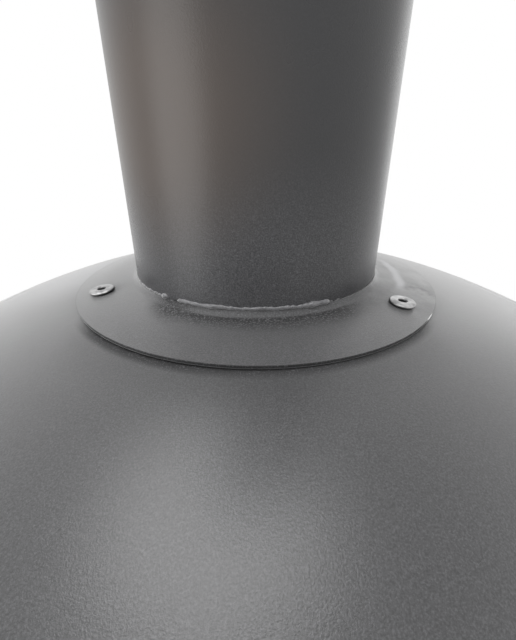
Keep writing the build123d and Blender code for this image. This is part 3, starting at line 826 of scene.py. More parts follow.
def collar_finish(place):
    """Gritty dry spray next to the weld; painted shade on the band there, on the cut edge and on the front; a
    painted reflection streak, as of a shallow dent, and a painted glint; scuffs and blotches.
    """
    looks, paint, out = heat_paint(place, 1.2, 0.95), colours().paint, place.from_axis()
    cloud, coarse = place.noise(0.012, 3) - 0.5, place.noise(SPECKLE, 2, 0.7)
    lip = place.mark(*LIP_SIDE, 0.010 * cloud)
    bend = out.span(*LIP_BEND) * lip
    foot = (out + 0.0006 * cloud).span(*LIP_FOOT) * lip + (1 - lip)
    band = foot * (out + 0.004 * cloud).span(*GRIT_AND_SHADE_BAND) * place.mark(*GRIT_AND_SHADE_SIDE, 0.010 * cloud)
    tinted(looks, 0.8 * (bend + band) * coarse.span(0.60, 0.72), shade(paint, 2.8))
    # Painted reflection: a pale streak behind the right rivet, as a shallow dent would reflect the light
    aside = out + 0.004 * (place.noise(0.010, 2) - 0.5) - REFLECTION_STREAK_RADIUS
    reflection_streak = aside.math("ABSOLUTE", aside).span(*REFLECTION_STREAK_WIDTH) * place.mark(*REFLECTION_STREAK_SIDE)
    tinted(looks, 0.9 * reflection_streak, shade(paint, 7.0))
    # Painted highlight: a pale grey glint on the cut edge, on the right
    glint = place.mark(*GLINT) * out.span(*GLINT_EDGE)
    tinted(looks, glint, PAINTED_GLINT_GREY)
    looks["Roughness"] = looks["Roughness"] + 0.35 * bend
    # Painted shade: the collar's front, between the lip and the rivets, is darkened
    front_shade = 0.42 * place.mark(*PAINTED_SHADE_SIDE) * out.span(*PAINTED_SHADE_RING) * (1 - 0.6 * bend)
    # Painted shade and painted reflection of the dark pipe over the band beside the weld, broken up by the
    # grit
    band_shade_and_grit = band * (0.30 + 0.60 * coarse.span(0.64, 0.44))
    # Painted shade on the collar's cut edge, stronger on the front, left off where the glint is
    edge = out.span(*CUT_EDGE) * place.height().span(*CROWN)
    edge = edge * (0.3 + 0.6 * place.mark(*SHADED_FRONT_SIDE)) * (1 - glint)
    scuff = place.mark(*SCUFF) * place.noise(0.004, 3).span(0.35, 0.65)
    blotch = place.mark(*BLOTCH) * place.noise(0.012, 3).span(0.42, 0.62)
    # Mix for the dark shader: painted shade on the front, the band and the cut edge, with real scuffs and
    # blotches, kept off the painted streak
    looks["Spray"] = front_shade + band_shade_and_grit * (1 - front_shade) + edge + (0.25 * scuff + 0.14 * blotch) * (1 - reflection_streak)
    return looks


def weld_finish(place):
    """Thin paint over the bead, rubbed on its lumps, and the whole bead painted lighter as a painted
    highlight of the ridge.
    """
    looks = heat_paint(place, 0.6, 1.0)
    rub = place.noise(0.0018, 2).span(0.35, 0.6)
    # Partly rubbed paint on the lumps, partly painted highlight: the whole bead is painted lighter
    tinted(looks, 0.35 + 0.5 * rub, shade(colours().paint, 3.2))
    return looks


def flue_finish(place):
    """Painted outside and sooty inside, with painted shade that darkens the pipe above its foot, and a
    painted warm reflection, a faint brown tint, on its left.
    """
    looks = heat_paint(place, 1.0, 1.28, 0.0)
    # Painted shade: the pipe darkens upwards from just above its foot, so the foot reads lit
    tinted(looks, 0.9 * place.height().span(*FLUE_PAINTED_SHADE), shade(colours().paint, 0.7))
    # Painted reflection: a faint warm brown on the pipe's left, where a warm light is reflected
    tinted(looks, 0.8 * place.mark(*WARM_REFLECTION_SIDE), WARM_REFLECTION_BROWN)
    inside = place.from_axis().span(*FLUE_INSIDE)
    return sooty(looks, inside, place)


def cap_finish(place):
    """Painted, with smoke stains under the cone."""
    out = place.from_axis()
    slope = place.height() + tan(CAP_LEAN) * out
    under = slope.span(*CAP_BELOW) * slope.span(*CAP_STAINED)
    stains = 0.8 * place.noise(0.03, 3).span(0.2, 0.6)
    return sooty(heat_paint(place), under * out.span(*CAP_INSIDE) * stains, place)


def rivet_finish(place):
    """Thin paint over a bright aluminium head, all but rubbed off its rim, with painted shade on the head's
    sides.
    """
    # Painted shade: the heads' sides, low by the globe, are painted dark
    side = place.distance((0, 0, EQUATOR)).span(*RIVET_SHADED_SIDES)
    rub = place.noise(0.0030, 2).span(0.30, 0.62) * (1 - side)
    fine = place.noise(colours().grain, 2)
    head = (0.35 + 0.65 * rub).mix(shade(colours().paint, 1.8), (*colours().worn, 1))
    return {
        "Base Color": (0.9 * side).mix(head, shade(colours().paint, 0.25)),
        "Roughness": 0.26 + 0.10 * fine,
        "Metallic": 0.3 + 0.3 * rub,
        "Normal": fine.bumps(0.15, 0.00005),
    }


def screen_finish(place):
    """Black wire, dusty in places."""
    paint, dust = colours().paint, place.noise(0.010, 4)
    return {
        "Base Color": dust.mix(shade(paint, 0.35), shade(paint, 0.75)),
        "Roughness": 0.50 + 0.25 * dust,
        "Normal": place.noise(0.0004, 2).bumps(0.3, 0.00005),
    }


def hardware_finish(place):
    """Zinc plating with its faint spangle and duller patches."""
    zinc = colours().zinc
    patch, spangle = place.noise(0.006, 3), place.noise(0.0012, 2)
    return {
        "Base Color": patch.mix(shade(zinc, 0.8), shade(zinc, 1.1)),
        "Roughness": 0.26 + 0.22 * spangle,
        "Metallic": 1.0,
        "Normal": spangle.bumps(0.15, 0.00004),
    }


def knob_finish(place):
    """Turned steel, a little uneven in tone."""
    cloud, fine = place.noise(0.02, 1), place.noise(0.0003, 2)
    return {
        "Base Color": cloud.mix(*KNOB_STEEL),
        "Roughness": 0.20 + 0.15 * fine,
        "Metallic": 1.0,
        "Normal": fine.bumps(0.12, 0.00003),
    }


def grate_finish(place):
    """Sand-cast iron, rusty in places and grey with ash on top."""
    pits, rust = place.noise(0.0015, 4, 0.65), place.noise(0.018, 4).span(0.48, 0.72)
    return {
        "Base Color": rust.mix((*colours().iron, 1), RUST),
        "Roughness": 0.72 + 0.2 * rust,
        "Metallic": 0.2,
        "Normal": pits.bumps(0.6, 0.0004),
    }


def leg_finish(place):
    """Painted, with a scuffed and dusty foot."""
    looks = heat_paint(place)
    scuff = place.height().span(*SCUFFED_FOOT) * place.noise(0.004, 4).span(0.42, 0.62)
    tinted(looks, 0.7 * scuff, DUST)
    return looks


FINISHES = {
    "shell": shell_finish,
    "collar": collar_finish,
    "weld": weld_finish,
    "flue": flue_finish,
    "cap": cap_finish,
    "rivet": rivet_finish,
    "door": heat_paint,
    "screen": screen_finish,
    "hardware": hardware_finish,
    "bracket": heat_paint,
    "knob": knob_finish,
    "grate": grate_finish,
    "leg": leg_finish,
}


def finish(slot):
    """The material of one slot of the record, made when it is first needed."""
    name = f"{slot} finish"
    made = bpy.data.materials.get(name)
    if made is None:
        made = bpy.data.materials.new(name)
        made.use_nodes = True
        made.node_tree.nodes.clear()
        place = Wire(made.node_tree.nodes.new("ShaderNodeTexCoord").outputs["Object"])
        looks = FINISHES[slot](place)
        # The dark, gritty second shader takes the finish's painted shade and scuffs
        spray = looks.pop("Spray", None)
        surface = place.make("ShaderNodeBsdfPrincipled", None, looks)
        if spray:
            dry = place.make("ShaderNodeBsdfPrincipled", None, dark_grit_and_shade(place))
            surface = place.make("ShaderNodeMixShader", None, {0: spray, 1: surface, 2: dry})
        place.make("ShaderNodeOutputMaterial", None, {"Surface": surface})
    return made


# Geometry trees
def new_tree(name, inputs):
    """Geometry tree with these named inputs, which it gives as wires."""
    tree = bpy.data.node_groups.new(name, "GeometryNodeTree")
    tree.interface.new_socket("Geometry", in_out="OUTPUT", socket_type="NodeSocketGeometry")
    for label, kind in inputs.items():
        tree.interface.new_socket(label, in_out="INPUT", socket_type=f"NodeSocket{kind}")
    source = tree.nodes.new("NodeGroupInput")
    return tree, {label: Wire(source.outputs[label]) for label in inputs}


def end_tree(result, material):
    """Close a tree: its instances made real, its material set."""
    real = result.make("GeometryNodeRealizeInstances", None, {0: result})
    dressed = real.make("GeometryNodeSetMaterial", None, {"Geometry": real, "Material": material})
    dressed.make("NodeGroupOutput", None, {0: dressed})


def grown(piece, tree, values):
    """Run a tree on a piece and keep the result as its plain mesh."""
    modifier = piece.modifiers.new(tree.name, "NODES")
    modifier.node_group = tree
    for item in tree.interface.items_tree:
        if item.in_out == "INPUT" and item.name in values:
            modifier[item.identifier] = values[item.name]
    return flatten(piece)


def pieces_tree():
    """Like pieces set on points, each along its point's aim, a little turned and tilted."""
    inputs = {"Geometry": "Geometry", "Piece": "Object", "Spin": "Float", "Tilt": "Float", "Seed": "Int",
              "Material": "Material"}
    tree, given = new_tree("Set on points", inputs)
    points = given["Geometry"]
    aim = points.make("GeometryNodeInputNamedAttribute", {"data_type": "FLOAT_VECTOR"}, {"Name": "aim"})
    facing = points.make("FunctionNodeAlignRotationToVector", {"axis": "Z"}, {"Vector": aim})
    corners = {"X": given["Tilt"], "Y": given["Tilt"], "Z": given["Spin"]}
    most = points.make("ShaderNodeCombineXYZ", None, corners)
    least = most.vector("MULTIPLY", most, (-1, -1, -1))
    settings, limits = {"data_type": "FLOAT_VECTOR"}, {"Min": least, "Max": most, "Seed": given["Seed"]}
    turn = points.make("FunctionNodeRandomValue", settings, limits)
    turn = points.make("FunctionNodeEulerToRotation", None, {"Euler": turn})
    facing = points.make("FunctionNodeRotateRotation", {"rotation_space": "LOCAL"}, {0: facing, 1: turn})
    model = points.make("GeometryNodeObjectInfo", None, {"Object": given["Piece"]}, "Geometry")
    copies = {"Points": points, "Instance": model, "Rotation": facing}
    end_tree(points.make("GeometryNodeInstanceOnPoints", None, copies), given["Material"])
    return tree


def set_on(name, model, seats, node, seed, tilt=0.0):
    """One piece from a model set on (place, direction) pairs, each turned at random. The model is used up."""
    tree = bpy.data.node_groups.get("Set on points") or pieces_tree()
    data = bpy.data.meshes.new(name)
    data.from_pydata([seat for seat, aim in seats], [], [])
    aims = data.attributes.new("aim", "FLOAT_VECTOR", "POINT")
    for value, (seat, aim) in zip(aims.data, seats):
        value.vector = aim
    piece = placed(name, data)
    values = {"Piece": model, "Spin": pi, "Tilt": radians(tilt), "Seed": seed,
              "Material": finish(SLOT_OF[node])}
    grown(piece, tree, values)
    bpy.data.objects.remove(model)
    return dress(piece, node)


# Globe
def shell_outline(hole):
    """Half of the globe with its out-turned rim, open to a radius at the pole."""
    bend_height = SHELL_SHEET + RIM_BEND
    bend_radius = sqrt((GLOBE_RADIUS + RIM_BEND) ** 2 - bend_height**2)
    lean = degrees(asin(bend_height / (GLOBE_RADIUS + RIM_BEND)))
    inner = GLOBE_RADIUS - SHELL_SHEET
    outline = [Vector((RIM_RADIUS, 0)), Vector((RIM_RADIUS, SHELL_SHEET))]
    outline += arc((bend_radius, bend_height), RIM_BEND, 270, 180 + lean)
    outline += arc((0, 0), GLOBE_RADIUS, lean, degrees(acos(hole / GLOBE_RADIUS)))[1:]
    outline += arc((0, 0), inner, degrees(acos(hole / inner)), 0)
    return outline


def globe_top():
    """Upper half, with the flue's hole and the mouth cut out of it."""
    piece = turned("globe_top", eased(shell_outline(FLUE_BORE), sizes().edge), GLOBE)
    low, high = MOUTH_CUT
    outline = [(0, low), (MOUTH_RADIUS, low), (MOUTH_RADIUS, high), (0, high)]
    return dress(carved(piece, turned("mouth_cut", outline, MOUTH, closed=False)), "upper_dome")


def globe_bottom():
    """Lower half, turned over."""
    outline = eased(shell_outline(MERGE / 10), sizes().edge)
    return dress(turned("globe_bottom", outline, GLOBE @ Matrix.Rotation(pi, 4, "X")), "lower_bowl")


# Collars
def collar_line(bore, outer, sheet, blend):
    """Centre line of a ring that lies on the globe and turns up, to the start of its lip."""
    middle = GLOBE_RADIUS + SEAT_GAP + sheet / 2
    turn = blend + sheet / 2
    lip = bore + sheet / 2
    height = sqrt((middle + turn) ** 2 - (lip + turn) ** 2)
    lean = degrees(atan2(height, lip + turn))
    line = arc((0, 0), middle, degrees(acos(outer / middle)), lean)
    return line + arc((lip + turn, height), turn, 180 + lean, 180)[1:]


def flue_collar():
    """Ring whose bend ends at the weld, and whose edge stands a little off the globe on one side."""
    line = collar_line(FLUE_RADIUS - COLLAR_SHEET, COLLAR_RADIUS, COLLAR_SHEET, COLLAR_BLEND)
    line = [point for point in line if point.y < LIP_TOP - EQUATOR]
    outline = eased(walls(line, COLLAR_SHEET), COLLAR_EDGE)

    def section(angle):
        near = max(cos(angle - radians(COLLAR_LIFT_ANGLE)), 0) ** 4
        lift = COLLAR_LIFT * (near + COLLAR_RIPPLE * noise.noise(polar(COLLAR_RIPPLES, angle)))
        points = []
        for r, z in outline:
            curl = max((r - COLLAR_LIFT_FROM) / (COLLAR_RADIUS - COLLAR_LIFT_FROM), 0) ** 2
            crown = max(1 - ((r - COLLAR_RIVET_RADIUS) / COLLAR_CROWN_REACH) ** 2, 0) ** 2
            points.append((r, z + lift * curl + COLLAR_CROWN * crown))
        return points

    return dress(turned("flue_collar_spun", section, GLOBE, 2 * AROUND), "flue_collar")


def mouth_collar():
    """Ring that turns up to a lip for the door."""
    line = collar_line(MOUTH_RADIUS, MOUTH_RADIUS + MOUTH_FLANGE, MOUTH_SHEET, MOUTH_BLEND)
    line.append(line[-1] + Vector((0, MOUTH_LIP)))
    outline = eased(walls(line, MOUTH_SHEET), sizes().edge)
    return dress(turned("mouth_collar_spun", outline, MOUTH), "mouth_ring")


# Flue
def lower_pipe():
    """Pipe that narrows to a spigot at its top."""
    spigot = FLUE_BORE - SPIGOT_CLEARANCE
    neck = FLUE_RADIUS - spigot
    shoulder = SPIGOT_TOP - SPIGOT_LENGTH - neck
    outline = [
        (FLUE_BORE, LIP_TOP + JOINT_GAP),
        (FLUE_RADIUS, LIP_TOP + JOINT_GAP),
        (FLUE_RADIUS, shoulder),
        (spigot, shoulder + neck),
        (spigot, SPIGOT_TOP),
        (spigot - FLUE_SHEET, SPIGOT_TOP),
        (spigot - FLUE_SHEET, shoulder + neck),
        (FLUE_BORE, shoulder),
    ]
    return dress(turned("flue_lower_pipe", eased(outline, sizes().edge)), "lower_flue")


def upper_pipe():
    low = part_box("upper_flue")[0].z
    outline = [(FLUE_BORE, low), (FLUE_RADIUS, low), (FLUE_RADIUS, FLUE_TOP), (FLUE_BORE, FLUE_TOP)]
    return dress(turned("flue_upper_pipe", eased(outline, sizes().edge)), "upper_flue")


# Weld: where each stretch of the bead begins and ends, in degrees, and how full it is
WELD_RUNS = (
    (3, 48, 0.9), (51, 118, 1.0), (121, 196, 0.85), (198, 232, 0.55), (229.6, 233.8, 1.9),
    (238.0, 260, 1.05), (250, 292, 0.9), (285, 299.6, 1.45), (299.4, 301.2, 0.8), (302.6, 304.8, 0.8),
)
WELD_FADE = 2.2
WELD_RISE = 0.0005
WELD_WAVE = 0.00022
WELD_PROUD = 0.0006
WELD_ROOT = 0.00025
WELD_CORE = 0.0003


def weld_size(angle):
    """How full the bead is at an angle in degrees."""
    full = 0.0
    for start, end, size in WELD_RUNS:
        depth = min(angle - start, end - angle) / WELD_FADE
        full = max(full, size * sqrt(min(max(depth, 0), 1)))
    return full


def weld_section(angle):
    """Closed section of the weld: a core in the joint and the bead that stands proud of it."""
    spot = Vector((cos(angle), sin(angle), 0))
    lumps = noise.noise(spot * 15.0) + 0.7 * noise.noise(spot * 38.0)
    wave = noise.noise(spot * 12.0 + Vector((0, 0, 5))) + 0.6 * noise.noise(spot * 29.0 + Vector((0, 3, 0)))
    full = weld_size(degrees(angle)) * (1 + 0.55 * lumps)
    middle = LIP_TOP + JOINT_GAP / 2 + (WELD_RISE + WELD_WAVE * wave) * min(full, 1)
    tall, proud = JOINT_GAP / 2 + sizes().bead * full, WELD_PROUD * full + WELD_ROOT * min(full, 1)
    core = FLUE_BORE + WELD_CORE
    section = [(core, middle + JOINT_GAP / 2), (core, middle - JOINT_GAP / 2)]
    for step in range(BEAD_STEPS + 1):
        turn = pi * (step / BEAD_STEPS - 0.5)
        section.append((FLUE_RADIUS - WELD_ROOT + proud * cos(turn), middle + tall * sin(turn)))
    return section


def weld():
    return dress(turned("flue_weld_bead", weld_section, sides=WELD_AROUND), "flue_weld")


# Blind rivets
RIVET_HEAD = 0.0095
RIVET_SHANK = 0.0048
RIVET_BULB = 0.0072
RIVET_BULB_LENGTH = 0.004
MANDREL_HOLE = 0.0031


def rivet_model(grip):
    """Blind rivet along Z with its head's seat at the origin."""
    head, hole, shank, bulb = RIVET_HEAD / 2, MANDREL_HOLE / 2, RIVET_SHANK / 2, RIVET_BULB / 2
    outline = [
        (0, 0.0006), (hole * 0.62, 0.00055), (hole * 0.80, 0.0003), (hole, 0.0003),
        (hole + 0.00005, 0.00125), (hole + 0.0002, 0.00142), (hole + 0.0006, 0.00150),
        (head * 0.66, 0.00146), (head * 0.86, 0.00134), (head * 0.95, 0.00118), (head * 0.99, 0.00098),
        (head, 0.00076), (head * 0.97, 0.00030), (head * 0.90, 0), (shank, 0), (shank, -grip),
        (bulb * 0.93, -grip), (bulb, -grip - 0.0005), (bulb, -grip - 0.0028),
        (bulb * 0.85, -grip - 0.0036), (shank * 0.9, -grip - RIVET_BULB_LENGTH),
        (0, -grip - RIVET_BULB_LENGTH),
    ]
    return turned("rivet_model", outline, sides=SMALL_AROUND, closed=False)


def collar_seats(place, count, ring, sheet, first, lean=None):
    """Seats of rivets on a collar on the globe, upright to it unless they have a lean in degrees."""
    height = sqrt((GLOBE_RADIUS + SEAT_GAP + sheet) ** 2 - ring**2)
    seats = []
    for a in around(count, first):
        seat = polar(ring, a, height)
        aim = seat.normalized()
        if lean is not None:
            aim = polar(tan(radians(lean)), a, 1).normalized()
            seat.z += COLLAR_RIVET_RISE
        seats.append((place @ seat, place.to_3x3() @ aim))
    return seats


def rivets():
    """Blind rivets of both collars, of the rain cap and of the door."""
    grip = COLLAR_SHEET + 2 * SEAT_GAP + SHELL_SHEET
    seats = collar_seats(GLOBE, COLLAR_RIVETS, COLLAR_RIVET_RADIUS, COLLAR_SHEET, COLLAR_RIVET_ANGLE,
                         COLLAR_RIVET_LEAN)
    set_on("collar_blind_rivets", rivet_model(grip), seats, "collar_rivets", 3, tilt=0.4)
    grip = MOUTH_SHEET + 2 * SEAT_GAP + SHELL_SHEET
    seats = collar_seats(MOUTH, MOUTH_RIVETS, MOUTH_RIVET_RADIUS, MOUTH_SHEET, 180.0 / MOUTH_RIVETS)
    set_on("mouth_blind_rivets", rivet_model(grip), seats, "mouth_rivets", 5, tilt=1.0)
    grip = CAP_SHEET + STRAP_SHEET + 2 * SEAT_GAP + STRAP_BOW
    top = CAP_UPPER - ramp(CAP_RIVET_RADIUS)
    seats = [
        (polar(CAP_RIVET_RADIUS, radians(way), top), polar(sin(CAP_LEAN), radians(way), cos(CAP_LEAN)))
        for way in THREE_WAYS.values()
    ]
    set_on("cap_blind_rivets", rivet_model(grip), seats, "cap_rivets", 9, tilt=1.0)
    grip = DOOR_SHEET + SCREEN_SHEET + CLAMP_SHEET
    seats = [
        (MOUTH @ polar(DOOR_RIVET_RADIUS, a, DOOR_FRONT), MOUTH_OUT)
        for a in around(MOUTH_RIVETS, 180.0 / MOUTH_RIVETS)
    ]
    set_on("door_blind_rivets", rivet_model(grip), seats, "door_rivets", 7, tilt=1.0)


# Rain cap
def ramp(radius):
    """Drop of the cap's cone at a distance from its axis."""
    return radius * tan(CAP_LEAN)


def cap_band():
    """Band that slips over the flue, with a turned-in top that rests on it."""
    middle = BAND_RADIUS + BAND_SHEET / 2
    top = BAND_HIGH - BAND_SHEET / 2
    turn = BAND_SHEET / 2 + BAND_BEND
    pen = Pen((middle, BAND_LOW), 90).go(top - turn - BAND_LOW).bend(turn, 90)
    pen.go(pen.line[-1].x - FLUE_BORE)
    return dress(turned("cap_clamping_band", eased(walls(pen.line, BAND_SHEET), sizes().edge)), "cap_band")


def cap_cone():
    """Cone with a blunt tip and a rim that is turned down."""
    rim = CAP_RADIUS - CAP_SHEET / 2
    line = arc((0, CAP_PEAK - CAP_TIP / cos(CAP_LEAN)), CAP_TIP, 90, 90 - CAP_SLOPE)
    bend = CAP_BEND * tan(radians(90 - CAP_SLOPE) / 2)
    corner = Vector((rim, CAP_PEAK - ramp(rim)))
    pen = Pen(corner - Vector((cos(CAP_LEAN), -sin(CAP_LEAN))) * bend, -CAP_SLOPE)
    pen.bend(CAP_BEND, CAP_SLOPE - 90)
    pen.go(pen.line[-1].y - CAP_LOW)
    outline = eased(walls(line + pen.line, CAP_SHEET), sizes().edge)
    outline[0].x = outline[-1].x = 0
    return dress(turned("cap_cone", outline, closed=False), "rain_cap")


def cap_straps():
    """Three flat bars, spot-welded to the band and bent to lie under the cone."""
    under = (STRAP_SHEET / 2 + SEAT_GAP + STRAP_BOW) / cos(CAP_LEAN)
    corner = CAP_UNDER - under - ramp(STRAP_RADIUS)
    bend = STRAP_BEND * tan(radians(90 - CAP_SLOPE) / 2)
    pen = Pen((STRAP_RADIUS, FLUE_TOP - STRAP_OVERLAP), 90)
    pen.go(corner - bend - FLUE_TOP + STRAP_OVERLAP).bend(STRAP_BEND, 90 - CAP_SLOPE)
    pen.go(STRAP_TAB / cos(CAP_LEAN) - bend)
    for way, angle in THREE_WAYS.items():
        node, turn = "cap_strap_" + way, Matrix.Rotation(radians(angle), 4, "Z")
        bar = strip(node + "_bar", pen.line, STRAP_WIDTH, STRAP_SHEET, STRAP_CORNER, turn)
        marks = []
        for height in SPOT_WELDS:
            spot = Vector((STRAP_RADIUS + STRAP_SHEET / 2, 0, FLUE_TOP - STRAP_OVERLAP + height))
            marks.append(spot_weld(turn @ Matrix.Translation(spot) @ Matrix.Rotation(pi / 2, 4, "Y")))
        dress(joined(node + "_bent", [bar, *marks]), node)


def spot_weld(place):
    """Shallow round mark with a raised rim, which the welding tongs leave."""
    outline = [(0, 0.00004), (0.0019, 0.00003), (0.0023, 0.00012), (0.0027, 0.00010), (0.0030, -0.00005)]
    return turned("spot", outline, place, SPOT_AROUND, closed=False)


# Screws, bolts and nuts
def hex_radius(flats, angle):
    """Distance from a hexagon's centre to its side at an angle."""
    return flats / 2 / cos((angle + pi / 6) % (pi / 3) - pi / 6)


def threads(radius, start, end, pitch):
    """Ridges of a thread from one height down to another."""
    count = round((start - end) / pitch)
    step = (start - end) / count
    points = []
    for i in range(count):
        top = start - step * i
        root = radius - THREAD_DEPTH * step
        points += [(root, top), (root, top - step * 0.12)]
        points += [(radius, top - step * 0.44), (radius, top - step * 0.56)]
    return points


def hex_head(flats, head, angle):
    """Section of a head whose top is chamfered and slightly dished, down to its seat."""
    side, land = hex_radius(flats, angle), flats * HEX_LAND
    drop = (side - land) * HEX_CHAMFER
    return [
        (0, head - 0.0003), (land * 0.45, head - 0.0003), (land * 0.62, head), (land, head),
        (side, head - drop), (side, 0.0003), (land, 0.0003), (land, 0),
    ]


def bolt_model(kind, grip):
    """Hexagon bolt along Z with its head's seat at the origin."""
    radius, end = kind["d"] / 2, -grip - kind["nut"] - THREAD_OUT
    ridges = threads(radius, -BOLT_NECK, end + BOLT_TIP, sizes().thread)
    shank = [(radius, 0), (radius, -BOLT_NECK), *ridges, (radius - BOLT_TIP_CUT, end), (0, end)]
    return turned("bolt_model", lambda a: hex_head(kind["flats"], kind["head"], a) + shank,
                  sides=HEX_AROUND, closed=False)


def nut_model(kind, grip):
    """Hexagon nut below the bolt's grip, chamfered on both faces."""
    bore, land, low = kind["d"] / 2 + PIN_PLAY, kind["flats"] * HEX_LAND, -grip - kind["nut"]

    def section(angle):
        side = hex_radius(kind["flats"], angle)
        drop = (side - land) * HEX_CHAMFER
        return [
            (bore, -grip - 0.0004), (bore + 0.0004, -grip), (land, -grip), (side, -grip - drop),
            (side, low + drop), (land, low), (bore + 0.0004, low), (bore, low + 0.0004),
        ]

    return turned("nut_model", section, sides=HEX_AROUND)


def screw_model():
    """Self-tapping screw with a hexagon head."""
    radius = SCREW["d"] / 2
    tip = -SCREW_LENGTH + SCREW_TIP
    ridges = threads(radius, -SCREW_NECK, tip, sizes().thread * SCREW_COARSE)
    shank = [(radius, 0), *ridges, (radius * 0.7, tip), (0, -SCREW_LENGTH)]
    return turned("screw_model", lambda a: hex_head(SCREW["flats"], SCREW["head"], a) + shank,
                  sides=HEX_AROUND, closed=False)


def fasteners():
    """Bolts and nuts of the rim, the legs and the latch, and the flue's screws."""
    grip = 2 * SHELL_SHEET
    seats = [
        (polar(RIM_BOLT_RADIUS, a, EQUATOR + SHELL_SHEET), UP) for a in around(RIM_BOLTS, 180.0 / RIM_BOLTS)
    ]
    set_on("rim_hex_bolts", bolt_model(M6, grip), seats, "rim_bolts", 11)
    set_on("rim_hex_nuts", nut_model(M6, grip), seats, "rim_nuts", 12)
    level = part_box("upper_flue")[0].z + SPIGOT_LENGTH / 2
    ways = [radians(way) for way in THREE_WAYS.values()]
    seats = [(polar(FLUE_RADIUS + SEAT_GAP, a, level), polar(1, a)) for a in ways]
    set_on("flue_joint_screws", screw_model(), seats, "flue_screws", 13)
    grip = LEG_SHEET + 2 * SEAT_GAP + SHELL_SHEET
    seats = []
    for a in ways:
        for drop in LEG_BOLT_ANGLES:
            out = polar(cos(radians(drop)), a, -sin(radians(drop)))
            seats.append((GLOBE @ (out * (GLOBE_RADIUS + SEAT_GAP + LEG_SHEET)), out))
    set_on("leg_hex_bolts", bolt_model(M8, grip), seats, "leg_bolts", 14)
    set_on("leg_hex_nuts", nut_model(M8, grip), seats, "leg_nuts", 15)
    grip = DOOR_SHEET + LATCH_SHEET + 2 * (LATCH_BACK - DOOR_FRONT)
    seats = [(MOUTH @ Vector((LATCH_SIDE, 0, DOOR_BACK + grip)), MOUTH_OUT)]
    set_on("latch_hex_bolt", bolt_model(M6, grip), seats, "latch_bolt", 16)
    set_on("latch_hex_nut", nut_model(M6, grip), seats, "latch_nut", 17)


# Door
def door_frame():
    """Flat ring with the latch's ear, and two tabs rolled round the hinge pins."""
    meet = degrees(asin(LATCH_EAR / DOOR_OUTER))
    outer = circle((0, 0), DOOR_OUTER, meet, 360 - meet)
    outer += circle((LATCH_SIDE, 0), LATCH_EAR, -90, 90)
    holes = [round_hole((0, 0), DOOR_INNER), round_hole((LATCH_SIDE, 0), M6_HOLE)]
    ring = plate("door_ring", outer, holes, DOOR_BACK, DOOR_FRONT, MOUTH)
    tabs = []
    for level in HINGE_LEVELS:
        place = MOUTH @ Matrix.Translation((0, level, HINGE_HEIGHT)) @ Matrix.Diagonal((-1, 1, 1, 1))
        tabs.append(strip("tab", rolled_line(), EYE_LENGTH, TAB_SHEET, TAB_CORNER, place))
    return dress(joined("door_ring_with_eyes", [ring, *tabs]), "door_frame")


def rolled_line():
    """Centre line of a hinge tab: out from the ring, down beside the pin and all but round it."""
    roll = EYE_RADIUS - DOOR_SHEET / 2
    lean = degrees(acos(EYE_BEND / (EYE_BEND + roll)))
    pen = Pen(((DOOR_OUTER + DOOR_INNER) / 2, 0), 0)
    pen.go(HINGE_SIDE - sqrt((EYE_BEND + roll) ** 2 - EYE_BEND**2) - pen.line[0].x)
    return pen.bend(EYE_BEND, -lean).bend(roll, 360 - EYE_MOUTH).line


def clamp_ring():
    """Ring that holds the screen against the door's back."""
    top = DOOR_BACK - SCREEN_SHEET
    outer, inner = circle((0, 0), CLAMP_OUTER), round_hole((0, 0), CLAMP_INNER)
    return dress(plate("screen_clamping_ring", outer, [inner], top - CLAMP_SHEET, top, MOUTH), "screen_clamp")


